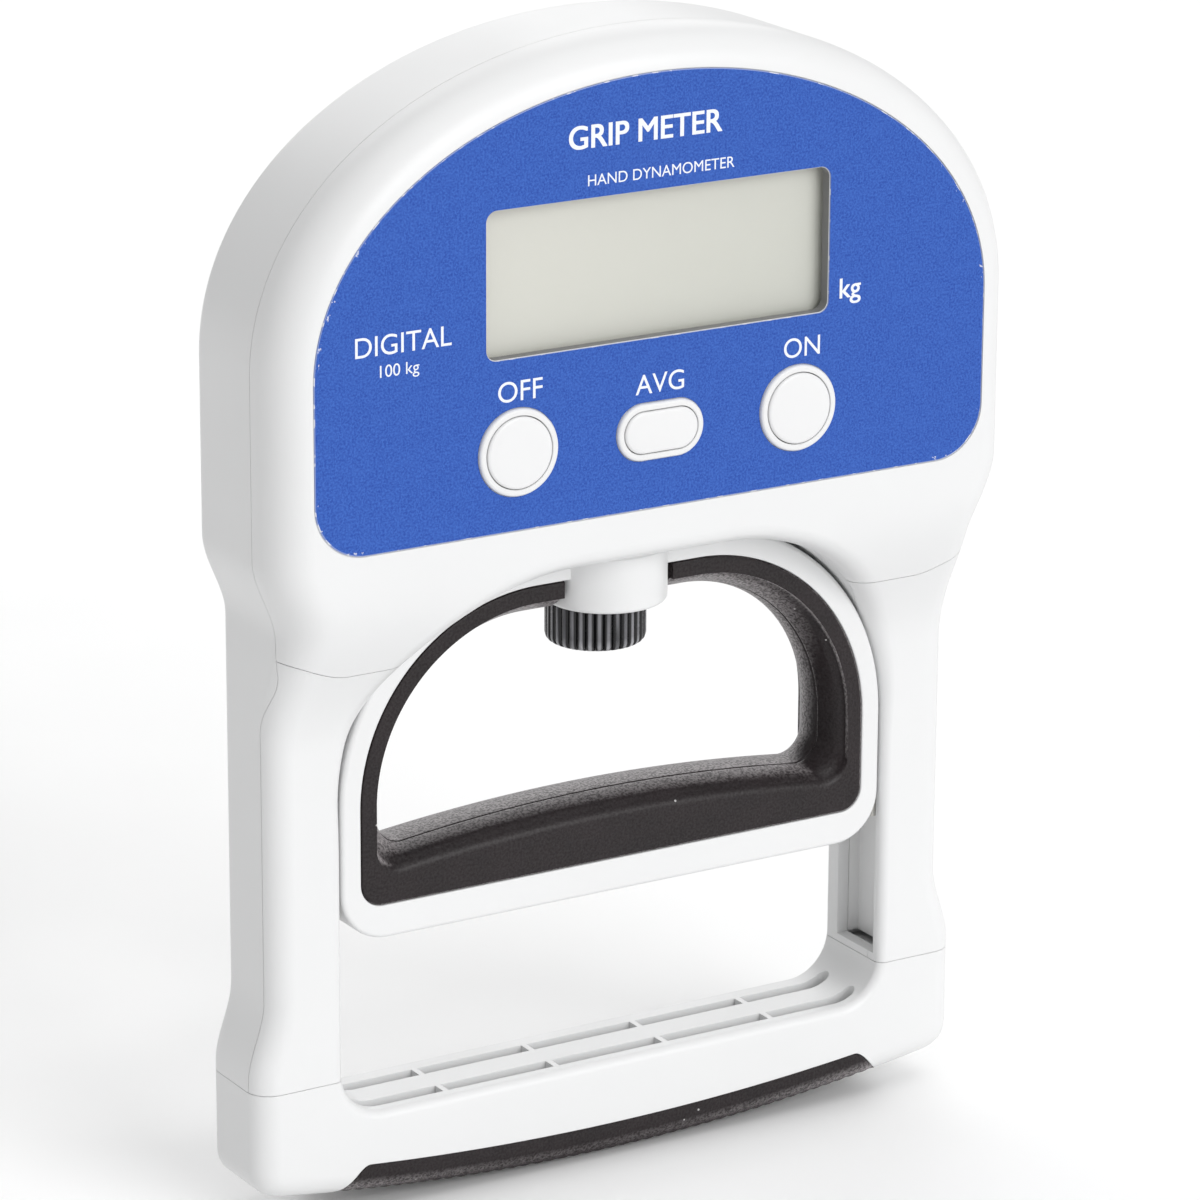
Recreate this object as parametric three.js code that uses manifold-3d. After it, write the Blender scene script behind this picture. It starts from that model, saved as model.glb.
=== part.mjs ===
// Digital hand dynamometer: a D-shaped head on two legs, a fixed foot bar for the palm and a sliding
// handle for the fingers. Squeezing pulls the handle down against two measuring springs, and a knurled
// knob under the handle sets how far down the handle starts.
//
// Units are millimetres. +Z is up, +X is to the right as the user reads the display, and the display
// faces -Y. The origin is on the flat back, on the middle plane, level with the row of buttons.

import * as THREE from "three";
import { mergeVertices } from "three/addons/utils/BufferGeometryUtils.js";
import ManifoldModule from "manifold-3d";

const wasm = await ManifoldModule();
wasm.setup();

// ---------------------------------------------------------------------------------------------------
// Driving dimensions
// ---------------------------------------------------------------------------------------------------

const WALL = 2.4; // shell thickness
const SEAM = 0.25; // gap between neighbouring shells
const GLUE = 0.05; // gap between pieces that are glued or clamped together
const RUNNING = 0.06; // radial clearance of a shaft that turns in its bore
const MERGE = 0.1; // how far two solids of one piece run into each other

// Outer outline, seen from the front.
const HEAD = { halfWidth: 77, domeZ: 17, domeHeight: 55.2, domePower: 2.05, front: -31.5 };
const LEG = { halfWidth: 72.6, front: -19 };
const FOOT = { halfWidth: 76, bottomZ: -144.8, bottomRadius: 439, cornerZ: -133, cornerX: 70 };
const NECK = { top: -15.5, bottom: -31 }; // where the outline narrows from head to leg
const ANKLE = { top: -101, bottom: -116 }; // where it widens from leg to foot
const SWEEP = { top: -22, bottom: -54 }; // where the front steps back from head to leg
const BACK_FILLET = 3;
const OPENING_BACK_CHAMFER = 1;
const HEAD_FILLET = { across: 7.2, deep: 8.5 };
const LEG_FILLET = { across: 4.7, deep: 4.7 };
const OPENING_FILLET = 1.8;

// Opening that the handle slides in.
const OPENING_MIDDLE_Z = -72;
const OPENING = { halfWidth: 58.4, top: -24.2, topRadius: 42.5, bottom: -125.3, bottomRadius: 8.6 };

// Seams between the shells.
const HEAD_PARTING_Y = -21.2;
const LEG_PARTING_Y = -14.9;
const PARTING_STEP = { top: -37, bottom: -50 };
const COLLAR_SEAM = { z: -38.4, riseFrom: 60, riseTo: 74, rise: 4 }; // lower edge of the front cover
const FOOT_SEAM_Z = -117.8;

// Front label, display window and buttons.
const LABEL = { halfWidth: 69.9, domeZ: 17, domeHeight: 48.2, bottom: -14.45, cornerRadius: 10 };
const LABEL_THICK = 0.25;
const LABEL_GAP = 0.15;
const WINDOW = { halfWidth: 35.6, bottom: 17.2, top: 44, cornerRadius: 2 };
const ROUND_BUTTON = { x: 29.3, holeRadius: 6.75, collarRadius: 8.03 };
const LONG_BUTTON = { halfLength: 7.75, halfHeight: 4, collarHalfLength: 9, collarHalfHeight: 5.27 };
const COLLAR_PROUD = 0.7;
const CAP_PROUD = 1.1;
const CAP_CLEARANCE = 0.3;
const CAP_FLANGE = { wide: 1.2, thick: 0.6 };
const CAP_EDGE = 0.5;

// Display and electronics, behind the head's front wall.
const INNER_FRONT = HEAD.front + WALL;
const PANE = { halfWidth: 38.5, bottom: 14.4, top: 46.6, cornerRadius: 1, thick: 1 };
const GLASS = { halfWidth: 39.8, bottom: 12.4, top: 48.6, front: INNER_FRONT + 1.1, thick: 2.8 };
const HOLDER = { halfWidth: 42.2, bottom: 10, top: 51, wall: 2.2, thick: 4.5 };
const BOARD = { halfWidth: 42, bottom: -11, top: 53, front: -23.8, back: -22.2 };
const PROCESSOR = { halfWidth: 5, bottom: 2, top: 12, thick: 1.4 };
const DISPLAY_DRIVER = { left: -24, right: -12, bottom: 22, top: 34, thick: 1.2 };
const SWITCH = { half: 3, front: -27, plungerRadius: 1.7, plungerFront: -27.35 };
const CABLE_RADIUS = 0.9;

// Handle, its rubber liner and its boss.
const HANDLE = { halfWidth: 58, top: -25.2, topRadius: 41.5, bottom: -92.1, bottomRadius: 9.5 };
const HANDLE_DEPTH = { front: -18, back: -0.8 };
const HANDLE_EDGE = 0.6;
const BOSS_EDGE = 0.7;
const LINER = { halfWidth: 54, top: -30.2, topRadius: 36.8, bottom: -85.7, bottomRadius: 4.5 };
const LINER_RIM = 3.3;
const LINER_BULGE = 3.6;
const GRIP = { edgeZ: -80.4, crownZ: -73.5, arch: 2.7 };
const LINER_CORNER = 5;
const BOSS = { radius: 11.4, y: -13.1, bottom: -36.3, backCorner: 2 };
const AXIS_Y = -9.6; // the spindle's axis, in front of the back

// Knob and spindle.
const KNOB = { radius: 9.4, top: -37.1, bottom: -45.2, ribs: 34, ribDepth: 0.5, chamfer: 1.3 };
const SPINDLE = { radius: 4, top: 20, bottom: -43.2 };
const WASHER = { radius: 8, top: -36.45, bottom: -37 };
const CLIP = { radius: 6.2, top: -26.9, bottom: -27.7, pocket: 0.5 };

// Pull sleeve, crosshead and springs.
const SLEEVE = { radius: 5.4, bottom: -21.5, top: 26, flangeRadius: 7.2, flangeZ: 22.1 };
const SLEEVE_HOLE_GAP = 0.6; // around the sleeve where it runs through the housing
const CROSSHEAD = { halfWidth: 26.8, bottom: 18, top: 22, front: -17.2, back: -2.6 };
const SPRING_PIN = { radius: 3, length: 3 };
const BASE = { halfWidth: 29, bottom: -21.7, top: -19.7, front: -18, back: -3 };
const SPRING = { x: 18.6, coilRadius: 5.5, wireRadius: 1.1, turns: 7.5, closing: 0.4 };
const RACK = { left: 27.1, right: 31.4, bottom: -9, top: 22, front: -13, back: -9.2 };
const RACK_TEETH = { depth: 1.6, pitch: 2.5 };
const PINION = { x: 36, z: 2, radius: 4.4, toothDepth: 1.5, teeth: 10, shaftRadius: 1.5 };
const PINION_SHAFT = { front: RACK.front - 0.6, back: -4 };
const SENSOR = { radius: 8.4, front: -8.5, back: -2.5 };
const SENSOR_LUG = { from: 6, to: 12, halfHeight: 3, thick: 2 };

// Guide grooves in the legs and the shoes that run in them.
const GROOVE = { front: -16.6, back: -4.2, top: -60, bottom: -116.3, floorX: 63.2 };
const SHOE = { front: -15.8, back: -4.9, top: -68.5, bottom: -88.7, tipX: 62.8 };
const RAIL = { lipX: 60.9, web: 1.2, frontLip: 0.5, drop: 1 };

// Power.
const TRAY = { halfWidth: 29.5, bottom: 33.2, top: 60.8, front: -16.2, wall: 1.2 };
const TRAY_RIB = { halfWidth: 12, bottom: 46.4, top: 47.6, tall: 3 };
const CELL = { radius: 5.25, length: 43.3, nubRadius: 1.9, nubLength: 1.2, y: -8.6 };
const CELL_Z = { low: 41.2, high: 52.8 };
const CONTACT = { front: -13.5, back: -4, thick: 0.5, tipRadius: 1.6, rootRadius: 3.4, gap: 0.25 };
const CONTACT_Z = { bottom: 36, lowTop: 45.4, highBottom: 48.6, top: 58 };
const DOOR = { halfWidth: 26.2, bottom: 34.9, top: 59.1, thick: 1.9, gap: 0.3, cornerRadius: 2 };
const DOOR_GRIPS = { count: 3, halfWidth: 8, depth: 0.5, height: 0.8, pitch: 1.8, fromTop: 4 };

// Foot bar.
const SLOT = { halfLength: 55.4, width: 3, depth: 9, rows: [-14.6, -5.6] };
const SLOT_RIB = { places: [-35.6, -11.9, 11.9, 35.6], width: 1.2 };
const SLOT_HEADROOM = 7.5; // how far the slots cut up into the rounded ends of the bar
const PAD = { topZ: -138.1, topRadius: 520, shoulderX: 53, tipX: 60, tipZ: -140.3 };

const PAD_GAP = 0.15;
const TONGUE = { left: 65, right: 69.2, front: -13, back: -3.2, below: 4, above: 10 };

// Rear screws.
const SCREW = { headRadius: 2.8, shankRadius: 1.5, length: 20, postRadius: 3.6 };
const SCREW_HEAD = { front: -1.9, back: -0.4, slotDepth: 0.7, slotHalfWidth: 0.3, slotHalfLength: 1.5 };
const SCREW_SINK = { radius: 3, depth: 2 };
const SCREW_THREAD = { front: -25.5, back: -15 };
const SCREW_PLACES = [[64, 2], [50, 45], [60, -31]];

// Tools that cut right through the object end out here.
const BEYOND = { side: 100, front: -60, back: 20, bottom: -180, top: 100 };

// ---------------------------------------------------------------------------------------------------
// Materials
// ---------------------------------------------------------------------------------------------------

function finish(color, roughness, metalness = 0) {
  return { color: new THREE.Color(color), roughness, metalness };
}

const WHITE = finish(0xf0f1f1, 0.38);
const WHITE_CAP = finish(0xf6f7f7, 0.32);
const WHITE_ACETAL = finish(0xe4e4df, 0.45);
const PALE_GREY = finish(0xd3d5d4, 0.5);
const BLUE_PRINT = finish(0x2a46a8, 0.42);
const CLEAR = finish(0xe8eeea, 0.06);
const DISPLAY_GREY = finish(0xc9cdc0, 0.3);
const BLACK_RUBBER = finish(0x221f20, 0.75);
const BLACK_PLASTIC = finish(0x1c1b1e, 0.35);
const BOARD_GREEN = finish(0x1f5a38, 0.5);
const STEEL = finish(0xb7babd, 0.35, 1);
const SPRING_STEEL = finish(0x8d9094, 0.3, 1);
const BRASS = finish(0xc9a14a, 0.3, 1);
const CELL_WRAP = finish(0x3a3f46, 0.4);
const NICKEL = finish(0xc9c9c4, 0.25, 1);
const RED_WIRE = finish(0xa02a24, 0.5);

// ---------------------------------------------------------------------------------------------------
// Solids
// ---------------------------------------------------------------------------------------------------

function solidOf(geometry) {
  const bare = new THREE.BufferGeometry();
  bare.setAttribute("position", geometry.getAttribute("position"));
  if (geometry.index) {
    bare.setIndex(geometry.index);
  }
  const welded = mergeVertices(bare, 1e-4);
  return new wasm.Manifold(new wasm.Mesh({
    numProp: 3,
    vertProperties: new Float32Array(welded.getAttribute("position").array),
    triVerts: new Uint32Array(welded.index.array),
  }));
}

function geometryOf(solid) {
  const mesh = solid.getMesh();
  const geometry = new THREE.BufferGeometry();
  geometry.setAttribute("position", new THREE.BufferAttribute(new Float32Array(mesh.vertProperties), 3));
  geometry.setIndex(new THREE.BufferAttribute(new Uint32Array(mesh.triVerts), 1));
  geometry.computeVertexNormals();
  return geometry;
}

function join(...solids) {
  return solids.reduce((whole, solid) => whole.add(solid));
}

function cut(solid, ...tools) {
  return tools.reduce((rest, tool) => rest.subtract(tool), solid);
}

function common(...solids) {
  return solids.reduce((shared, solid) => shared.intersect(solid));
}

function box(low, high) {
  const size = high.map((value, axis) => value - low[axis]);
  const geometry = new THREE.BoxGeometry(...size);
  geometry.translate(...high.map((value, axis) => (value + low[axis]) / 2));
  return solidOf(geometry);
}

// A box that is the same on the left and on the right of the middle plane.
function middleBox(halfWidth, y, z) {
  return box([-halfWidth, y[0], z[0]], [halfWidth, y[1], z[1]]);
}

function mirrored(solid) {
  return solid.mirror([1, 0, 0]);
}

// A shape drawn in X and Z, swept from y = front to y = back.
function slab(shape, front, back, bevel = 0, curveSegments = 7) {
  const geometry = new THREE.ExtrudeGeometry(shape, {
    depth: back - front - 2 * bevel,
    bevelEnabled: bevel > 0,
    bevelThickness: bevel,
    bevelSize: bevel,
    bevelOffset: -bevel,
    bevelSegments: 1,
    curveSegments,
  });
  geometry.rotateX(Math.PI / 2);
  geometry.translate(0, back - bevel, 0);
  return solidOf(geometry);
}

// A shape drawn in X and Y, swept from z = bottom to z = top.
function column(shape, bottom, top, bevel = 0, curveSegments = 7) {
  const geometry = new THREE.ExtrudeGeometry(shape, {
    depth: top - bottom - 2 * bevel,
    bevelEnabled: bevel > 0,
    bevelThickness: bevel,
    bevelSize: bevel,
    bevelOffset: -bevel,
    bevelSegments: 1,
    curveSegments,
  });
  geometry.translate(0, 0, bottom + bevel);
  return solidOf(geometry);
}

// A shape drawn in Y and Z, swept across X.
function profile(shape, left, right) {
  const geometry = new THREE.ExtrudeGeometry(shape, { depth: right - left, bevelEnabled: false });
  const turn = new THREE.Matrix4().makeBasis(
    new THREE.Vector3(0, 1, 0),
    new THREE.Vector3(0, 0, 1),
    new THREE.Vector3(1, 0, 0),
  );
  geometry.applyMatrix4(turn);
  geometry.translate(left, 0, 0);
  return solidOf(geometry);
}

// A turned solid from [radius, height] points that start and end on the axis. The axis is vertical.
function turned(points, x, y, segments = 32) {
  const geometry = new THREE.LatheGeometry(points.map(([r, h]) => new THREE.Vector2(r, h)), segments);
  geometry.rotateX(Math.PI / 2);
  geometry.translate(x, y, 0);
  return solidOf(geometry);
}

// A turned solid whose axis runs from front to back; heights are distances in front of y = 0.
function turnedFacingFront(points, x, z, segments = 28) {
  const geometry = new THREE.LatheGeometry(points.map(([r, h]) => new THREE.Vector2(r, h)), segments);
  geometry.rotateX(Math.PI);
  geometry.translate(x, 0, z);
  return solidOf(geometry);
}

function uprightRod(radius, bottom, top, x = 0, y = AXIS_Y, segments = 28) {
  return turned([[0, bottom], [radius, bottom], [radius, top], [0, top]], x, y, segments);
}

function frontRod(radius, front, back, x, z, segments = 24) {
  return turnedFacingFront([[0, -back], [radius, -back], [radius, -front], [0, -front]], x, z, segments);
}

function sideRod(radius, left, right, y, z, segments = 24) {
  const geometry = new THREE.CylinderGeometry(radius, radius, right - left, segments);
  geometry.rotateZ(Math.PI / 2);
  geometry.translate((left + right) / 2, y, z);
  return solidOf(geometry);
}

// A round wire along a curve.
function wire(curve, radius, steps, sides) {
  const section = new THREE.Shape();
  section.absarc(0, 0, radius, 0, 2 * Math.PI);
  return solidOf(new THREE.ExtrudeGeometry(section, {
    extrudePath: curve,
    steps,
    curveSegments: sides,
    bevelEnabled: false,
  }));
}

// A ring-shaped closed skin from loops of points that all have the same count, in order round the
// section. The loops run clockwise seen from the front and the section starts outside, front first.
function ringSolid(loops) {
  const around = loops[0].length;
  const geometry = new THREE.BufferGeometry();
  geometry.setAttribute("position", new THREE.Float32BufferAttribute(loops.flat(2), 3));
  const index = [];
  for (let loop = 0; loop < loops.length; loop++) {
    const next = (loop + 1) % loops.length;
    for (let k = 0; k < around; k++) {
      const after = (k + 1) % around;
      const a = loop * around + k;
      const b = loop * around + after;
      const c = next * around + after;
      const d = next * around + k;
      index.push(a, c, b, a, d, c);
    }
  }
  geometry.setIndex(index);
  return solidOf(geometry);
}

// ---------------------------------------------------------------------------------------------------
// Outlines
// ---------------------------------------------------------------------------------------------------

function smoothStep(value, start, end) {
  const t = THREE.MathUtils.clamp((value - start) / (end - start), 0, 1);
  return t * t * (3 - 2 * t);
}

function spread(count, from, to) {
  return Array.from({ length: count }, (_, k) => from + ((to - from) * (k + 1)) / count);
}

// Half-width of the body below the dome.
function bodyHalfWidth(z) {
  const neck = smoothStep(z, NECK.top, NECK.bottom) * (LEG.halfWidth - HEAD.halfWidth);
  const ankle = smoothStep(z, ANKLE.top, ANKLE.bottom) * (FOOT.halfWidth - LEG.halfWidth);
  return HEAD.halfWidth + neck + ankle;
}

function footBottomZ(x) {
  return FOOT.bottomZ + (x * x) / (2 * FOOT.bottomRadius);
}

// Right half of the outer outline, from the top of the dome round to the middle of the bottom.
function outerHalf() {
  const bulged = (value) => value ** (2 / HEAD.domePower);
  const dome = spread(16, Math.PI / 2, 0).map((angle) => [
    HEAD.halfWidth * bulged(Math.cos(angle)),
    HEAD.domeZ + HEAD.domeHeight * bulged(Math.abs(Math.sin(angle))),
  ]);
  const heights = [
    ...spread(2, HEAD.domeZ, NECK.top),
    ...spread(6, NECK.top, NECK.bottom),
    ...spread(6, NECK.bottom, SWEEP.bottom - 1),
    ...spread(3, SWEEP.bottom - 1, ANKLE.top),
    ...spread(6, ANKLE.top, ANKLE.bottom),
    FOOT.cornerZ,
  ];
  const side = heights.map((z) => [bodyHalfWidth(z), z]);
  const slope = FOOT.cornerX / FOOT.bottomRadius;
  const cornerTip = footBottomZ(FOOT.cornerX) + slope * (FOOT.halfWidth - FOOT.cornerX);
  const corner = new THREE.QuadraticBezierCurve(
    new THREE.Vector2(FOOT.halfWidth, FOOT.cornerZ),
    new THREE.Vector2(FOOT.halfWidth, cornerTip),
    new THREE.Vector2(FOOT.cornerX, footBottomZ(FOOT.cornerX)),
  );
  const rounded = spread(5, 0, 1).map((t) => corner.getPoint(t).toArray());
  const bottom = spread(8, FOOT.cornerX, 0).map((x) => [x, footBottomZ(x)]);
  return [[0, HEAD.domeZ + HEAD.domeHeight], ...dome, ...side, ...rounded, ...bottom];
}

// The whole outer outline, clockwise seen from the front.
function outerOutline() {
  const right = outerHalf();
  const left = right.slice(1, -1).reverse().map(([x, z]) => [-x, z]);
  return [...right, ...left];
}

function insideOpening(x, z, grow) {
  const { halfWidth, top, topRadius, bottom, bottomRadius } = OPENING;
  const side = Math.abs(x);
  const topCentre = { x: halfWidth - topRadius, z: top - topRadius };
  const lowCentre = { x: halfWidth - bottomRadius, z: bottom + bottomRadius };
  if (z > topCentre.z && side > topCentre.x) {
    return Math.hypot(side - topCentre.x, z - topCentre.z) < topRadius + grow;
  }
  if (z < lowCentre.z && side > lowCentre.x) {
    return Math.hypot(side - lowCentre.x, z - lowCentre.z) < bottomRadius + grow;
  }
  return side < halfWidth + grow && z < top + grow && z > bottom - grow;
}

// The point of the opening's edge on the line from the opening's middle to an outer point.
function openingPoint([x, z], grow) {
  const middleZ = OPENING_MIDDLE_Z;
  let near = 0;
  let far = 1;
  for (let step = 0; step < 30; step++) {
    const t = (near + far) / 2;
    if (insideOpening(x * t, middleZ + (z - middleZ) * t, grow)) {
      near = t;
    } else {
      far = t;
    }
  }
  return [x * near, middleZ + (z - middleZ) * near];
}

// An outline moved sideways: a positive distance moves it to the right of its direction of travel,
// which is inwards for a clockwise outline.
function shifted(outline, distance) {
  return outline.map((point, k) => {
    const before = outline[(k + outline.length - 1) % outline.length];
    const after = outline[(k + 1) % outline.length];
    const dx = after[0] - before[0];
    const dz = after[1] - before[1];
    const length = Math.hypot(dx, dz);
    const amount = typeof distance === "function" ? distance(point[1]) : distance;
    return [point[0] + (dz / length) * amount, point[1] - (dx / length) * amount];
  });
}

// How far the front has swept back from the head's plane to the legs' plane, from 0 to 1.
function sweep(z) {
  return smoothStep(z, SWEEP.top, SWEEP.bottom);
}

function frontY(z) {
  return THREE.MathUtils.lerp(HEAD.front, LEG.front, sweep(z));
}

function filletAt(z, key) {
  return THREE.MathUtils.lerp(HEAD_FILLET[key], LEG_FILLET[key], sweep(z));
}

// ---------------------------------------------------------------------------------------------------
// Body skins
// ---------------------------------------------------------------------------------------------------

// The outside of the whole body as one ring, with its rounded edges.
function bodyOutside() {
  const outer = outerOutline();
  const inner = outer.map((point) => openingPoint(point, 0));
  const loops = [];
  const quarter = (count) => spread(count, 0, Math.PI / 2);
  const place = (outline, depth) => outline.map(([x, z]) => [x, depth(z), z]);

  const edge = (angle) => {
    const rounded = shifted(outer, (z) => filletAt(z, "across") * (1 - Math.cos(angle)));
    return place(rounded, (z) => frontY(z) + filletAt(z, "deep") * (1 - Math.sin(angle)));
  };
  loops.push(edge(0), ...quarter(4).map(edge));

  const outerEdge = shifted(outer, (z) => filletAt(z, "across"));
  const innerEdge = shifted(inner, -OPENING_FILLET);
  for (const t of [0.33, 0.67]) {
    const between = outerEdge.map(([x, z], k) => [
      x + (innerEdge[k][0] - x) * t,
      z + (innerEdge[k][1] - z) * t,
    ]);
    loops.push(place(between, frontY));
  }

  for (const angle of [Math.PI / 2, Math.PI / 4, 0]) {
    const rounded = shifted(inner, -OPENING_FILLET * (1 - Math.cos(angle)));
    loops.push(place(rounded, (z) => frontY(z) + OPENING_FILLET * (1 - Math.sin(angle))));
  }
  loops.push(place(inner, () => -OPENING_BACK_CHAMFER));
  loops.push(place(shifted(inner, -OPENING_BACK_CHAMFER), () => 0));

  for (const angle of [Math.PI / 2, Math.PI / 4, 0]) {
    const rounded = shifted(outer, BACK_FILLET * (1 - Math.cos(angle)));
    loops.push(place(rounded, () => -BACK_FILLET * (1 - Math.sin(angle))));
  }
  return ringSolid(loops);
}

// The hollow inside the body, one wall thickness in from the outside and from the opening. Its front
// edge is chamfered twice to stay inside the rounded edge of the outside.
function bodyHollow() {
  const outer = outerOutline();
  const inner = outer.map((point) => openingPoint(point, WALL));
  const place = (inset, depth) => shifted(outer, inset).map(([x, z]) => [x, depth(z), z]);
  return ringSolid([
    place(WALL, (z) => frontY(z) + HEAD_FILLET.deep),
    place(WALL + 1, (z) => frontY(z) + 2 * WALL),
    place(WALL + 4, (z) => frontY(z) + WALL),
    inner.map(([x, z]) => [x, frontY(z) + WALL, z]),
    inner.map(([x, z]) => [x, -WALL, z]),
    place(WALL + 1, () => -WALL),
    place(WALL, () => -WALL - 1),
  ]);
}

// Everything behind the parting surface between the front covers and the rear housing.
function behindParting(gap) {
  const shape = new THREE.Shape();
  shape.moveTo(BEYOND.back, BEYOND.top);
  shape.lineTo(HEAD_PARTING_Y + gap, BEYOND.top);
  shape.lineTo(HEAD_PARTING_Y + gap, PARTING_STEP.top);
  const span = PARTING_STEP.top - PARTING_STEP.bottom;
  shape.bezierCurveTo(
    HEAD_PARTING_Y + gap, PARTING_STEP.top - span / 2,
    LEG_PARTING_Y + gap, PARTING_STEP.bottom + span / 2,
    LEG_PARTING_Y + gap, PARTING_STEP.bottom,
  );
  shape.lineTo(LEG_PARTING_Y + gap, BEYOND.bottom);
  shape.lineTo(BEYOND.back, BEYOND.bottom);
  return profile(shape, -BEYOND.side, BEYOND.side);
}

function above(z) {
  return middleBox(BEYOND.side, [BEYOND.front, BEYOND.back], [z, BEYOND.top]);
}

function below(z) {
  return middleBox(BEYOND.side, [BEYOND.front, BEYOND.back], [BEYOND.bottom, z]);
}

function rightHalf() {
  return box([0, BEYOND.front, BEYOND.bottom], [BEYOND.side, BEYOND.back, BEYOND.top]);
}

// Everything above the front cover's lower edge, which runs level and then rises at the sides.
function aboveCollarSeam(gap) {
  const { z, riseFrom, riseTo, rise } = COLLAR_SEAM;
  const low = z + gap;
  const middle = (riseFrom + riseTo) / 2;
  const shape = new THREE.Shape();
  shape.moveTo(-BEYOND.side, low + rise);
  shape.lineTo(-riseTo, low + rise);
  shape.bezierCurveTo(-middle, low + rise, -middle, low, -riseFrom, low);
  shape.lineTo(riseFrom, low);
  shape.bezierCurveTo(middle, low, middle, low + rise, riseTo, low + rise);
  shape.lineTo(BEYOND.side, low + rise);
  shape.lineTo(BEYOND.side, BEYOND.top);
  shape.lineTo(-BEYOND.side, BEYOND.top);
  return slab(shape, BEYOND.front, BEYOND.back, 0, 5);
}

function grooveCutter() {
  const right = box([0, GROOVE.front, GROOVE.bottom], [GROOVE.floorX, GROOVE.back, GROOVE.top]);
  return join(right, mirrored(right));
}

// ---------------------------------------------------------------------------------------------------
// Flat shapes
// ---------------------------------------------------------------------------------------------------

// A D on its flat side: straight sides, wide round shoulders and small lower corners.
function archShape({ halfWidth, top, topRadius, bottom, bottomRadius }, crown = 0) {
  const lowX = halfWidth - bottomRadius;
  const lowZ = bottom + bottomRadius;
  const topX = halfWidth - topRadius;
  const topZ = top - topRadius;
  const shape = new THREE.Shape();
  shape.moveTo(-lowX, bottom);
  shape.quadraticCurveTo(0, bottom + 2 * crown, lowX, bottom);
  shape.absarc(lowX, lowZ, bottomRadius, -Math.PI / 2, 0, false);
  shape.absarc(topX, topZ, topRadius, 0, Math.PI / 2, false);
  shape.absarc(-topX, topZ, topRadius, Math.PI / 2, Math.PI, false);
  shape.absarc(-lowX, lowZ, bottomRadius, Math.PI, 1.5 * Math.PI, false);
  return shape;
}

function shrunk(arch, amount) {
  return {
    halfWidth: arch.halfWidth - amount,
    top: arch.top - amount,
    topRadius: arch.topRadius - amount,
    bottom: arch.bottom + amount,
    bottomRadius: Math.max(arch.bottomRadius - amount, 1),
  };
}

function roundedRectangle(left, right, bottom, top, radius) {
  const shape = new THREE.Shape();
  shape.moveTo(left + radius, bottom);
  shape.absarc(right - radius, bottom + radius, radius, -Math.PI / 2, 0, false);
  shape.absarc(right - radius, top - radius, radius, 0, Math.PI / 2, false);
  shape.absarc(left + radius, top - radius, radius, Math.PI / 2, Math.PI, false);
  shape.absarc(left + radius, bottom + radius, radius, Math.PI, 1.5 * Math.PI, false);
  return shape;
}

// A level slot shape with round ends, centred on (0, middle).
function stadium(halfLength, halfHeight, middle = 0) {
  const straight = halfLength - halfHeight;
  const shape = new THREE.Shape();
  shape.moveTo(-straight, middle - halfHeight);
  shape.absarc(straight, middle, halfHeight, -Math.PI / 2, Math.PI / 2, false);
  shape.absarc(-straight, middle, halfHeight, Math.PI / 2, 1.5 * Math.PI, false);
  return shape;
}

function labelShape(grow) {
  const { halfWidth, domeZ, domeHeight, bottom, cornerRadius } = LABEL;
  const side = halfWidth + grow;
  const low = bottom - grow;
  const shape = new THREE.Shape();
  shape.moveTo(-side + cornerRadius, low);
  shape.absarc(side - cornerRadius, low + cornerRadius, cornerRadius, -Math.PI / 2, 0, false);
  shape.absellipse(0, domeZ, side, domeHeight + grow, 0, Math.PI, false);
  shape.absarc(-side + cornerRadius, low + cornerRadius, cornerRadius, Math.PI, 1.5 * Math.PI, false);
  return shape;
}

function windowShape(grow) {
  const { halfWidth, bottom, top, cornerRadius } = WINDOW;
  return roundedRectangle(
    -halfWidth - grow, halfWidth + grow, bottom - grow, top + grow, cornerRadius + grow,
  );
}

// Through-holes for the three buttons, as one group of tools.
function buttonHoles(roundRadius, halfLength, halfHeight, front, back) {
  return [
    frontRod(roundRadius, front, back, -ROUND_BUTTON.x, 0, 28),
    frontRod(roundRadius, front, back, ROUND_BUTTON.x, 0, 28),
    slab(stadium(halfLength, halfHeight), front, back, 0, 4),
  ];
}

// ---------------------------------------------------------------------------------------------------
// Housing
// ---------------------------------------------------------------------------------------------------

const screwPlaces = SCREW_PLACES.flatMap(([x, z]) => [[-x, z], [x, z]]);

function atScrews(make) {
  return screwPlaces.map(([x, z]) => make(x, z));
}

function frontCover(outside, hollow) {
  const shell = cut(common(outside, aboveCollarSeam(0)), hollow, behindParting(-SEAM));
  const collars = buttonHoles(
    ROUND_BUTTON.collarRadius, LONG_BUTTON.collarHalfLength, LONG_BUTTON.collarHalfHeight,
    HEAD.front - COLLAR_PROUD, HEAD.front + WALL,
  );
  const holes = buttonHoles(
    ROUND_BUTTON.holeRadius, LONG_BUTTON.halfLength, LONG_BUTTON.halfHeight, BEYOND.front, INNER_FRONT + 1,
  );
  const recess = slab(labelShape(LABEL_GAP), BEYOND.front, HEAD.front + LABEL_THICK + GLUE, 0, 14);
  const posts = atScrews((x, z) => frontRod(
    SCREW.postRadius, frontY(z) + WALL - MERGE, HEAD_PARTING_Y - SEAM, x, z, 20,
  ));
  const threads = atScrews((x, z) => frontRod(
    SCREW.shankRadius + RUNNING, SCREW_THREAD.front, SCREW_THREAD.back, x, z, 16,
  ));
  const windowHole = slab(windowShape(0), BEYOND.front, INNER_FRONT + 1, 0, 3);
  return cut(join(cut(shell, recess), ...collars, ...posts), windowHole, ...holes, ...threads);
}

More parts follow.
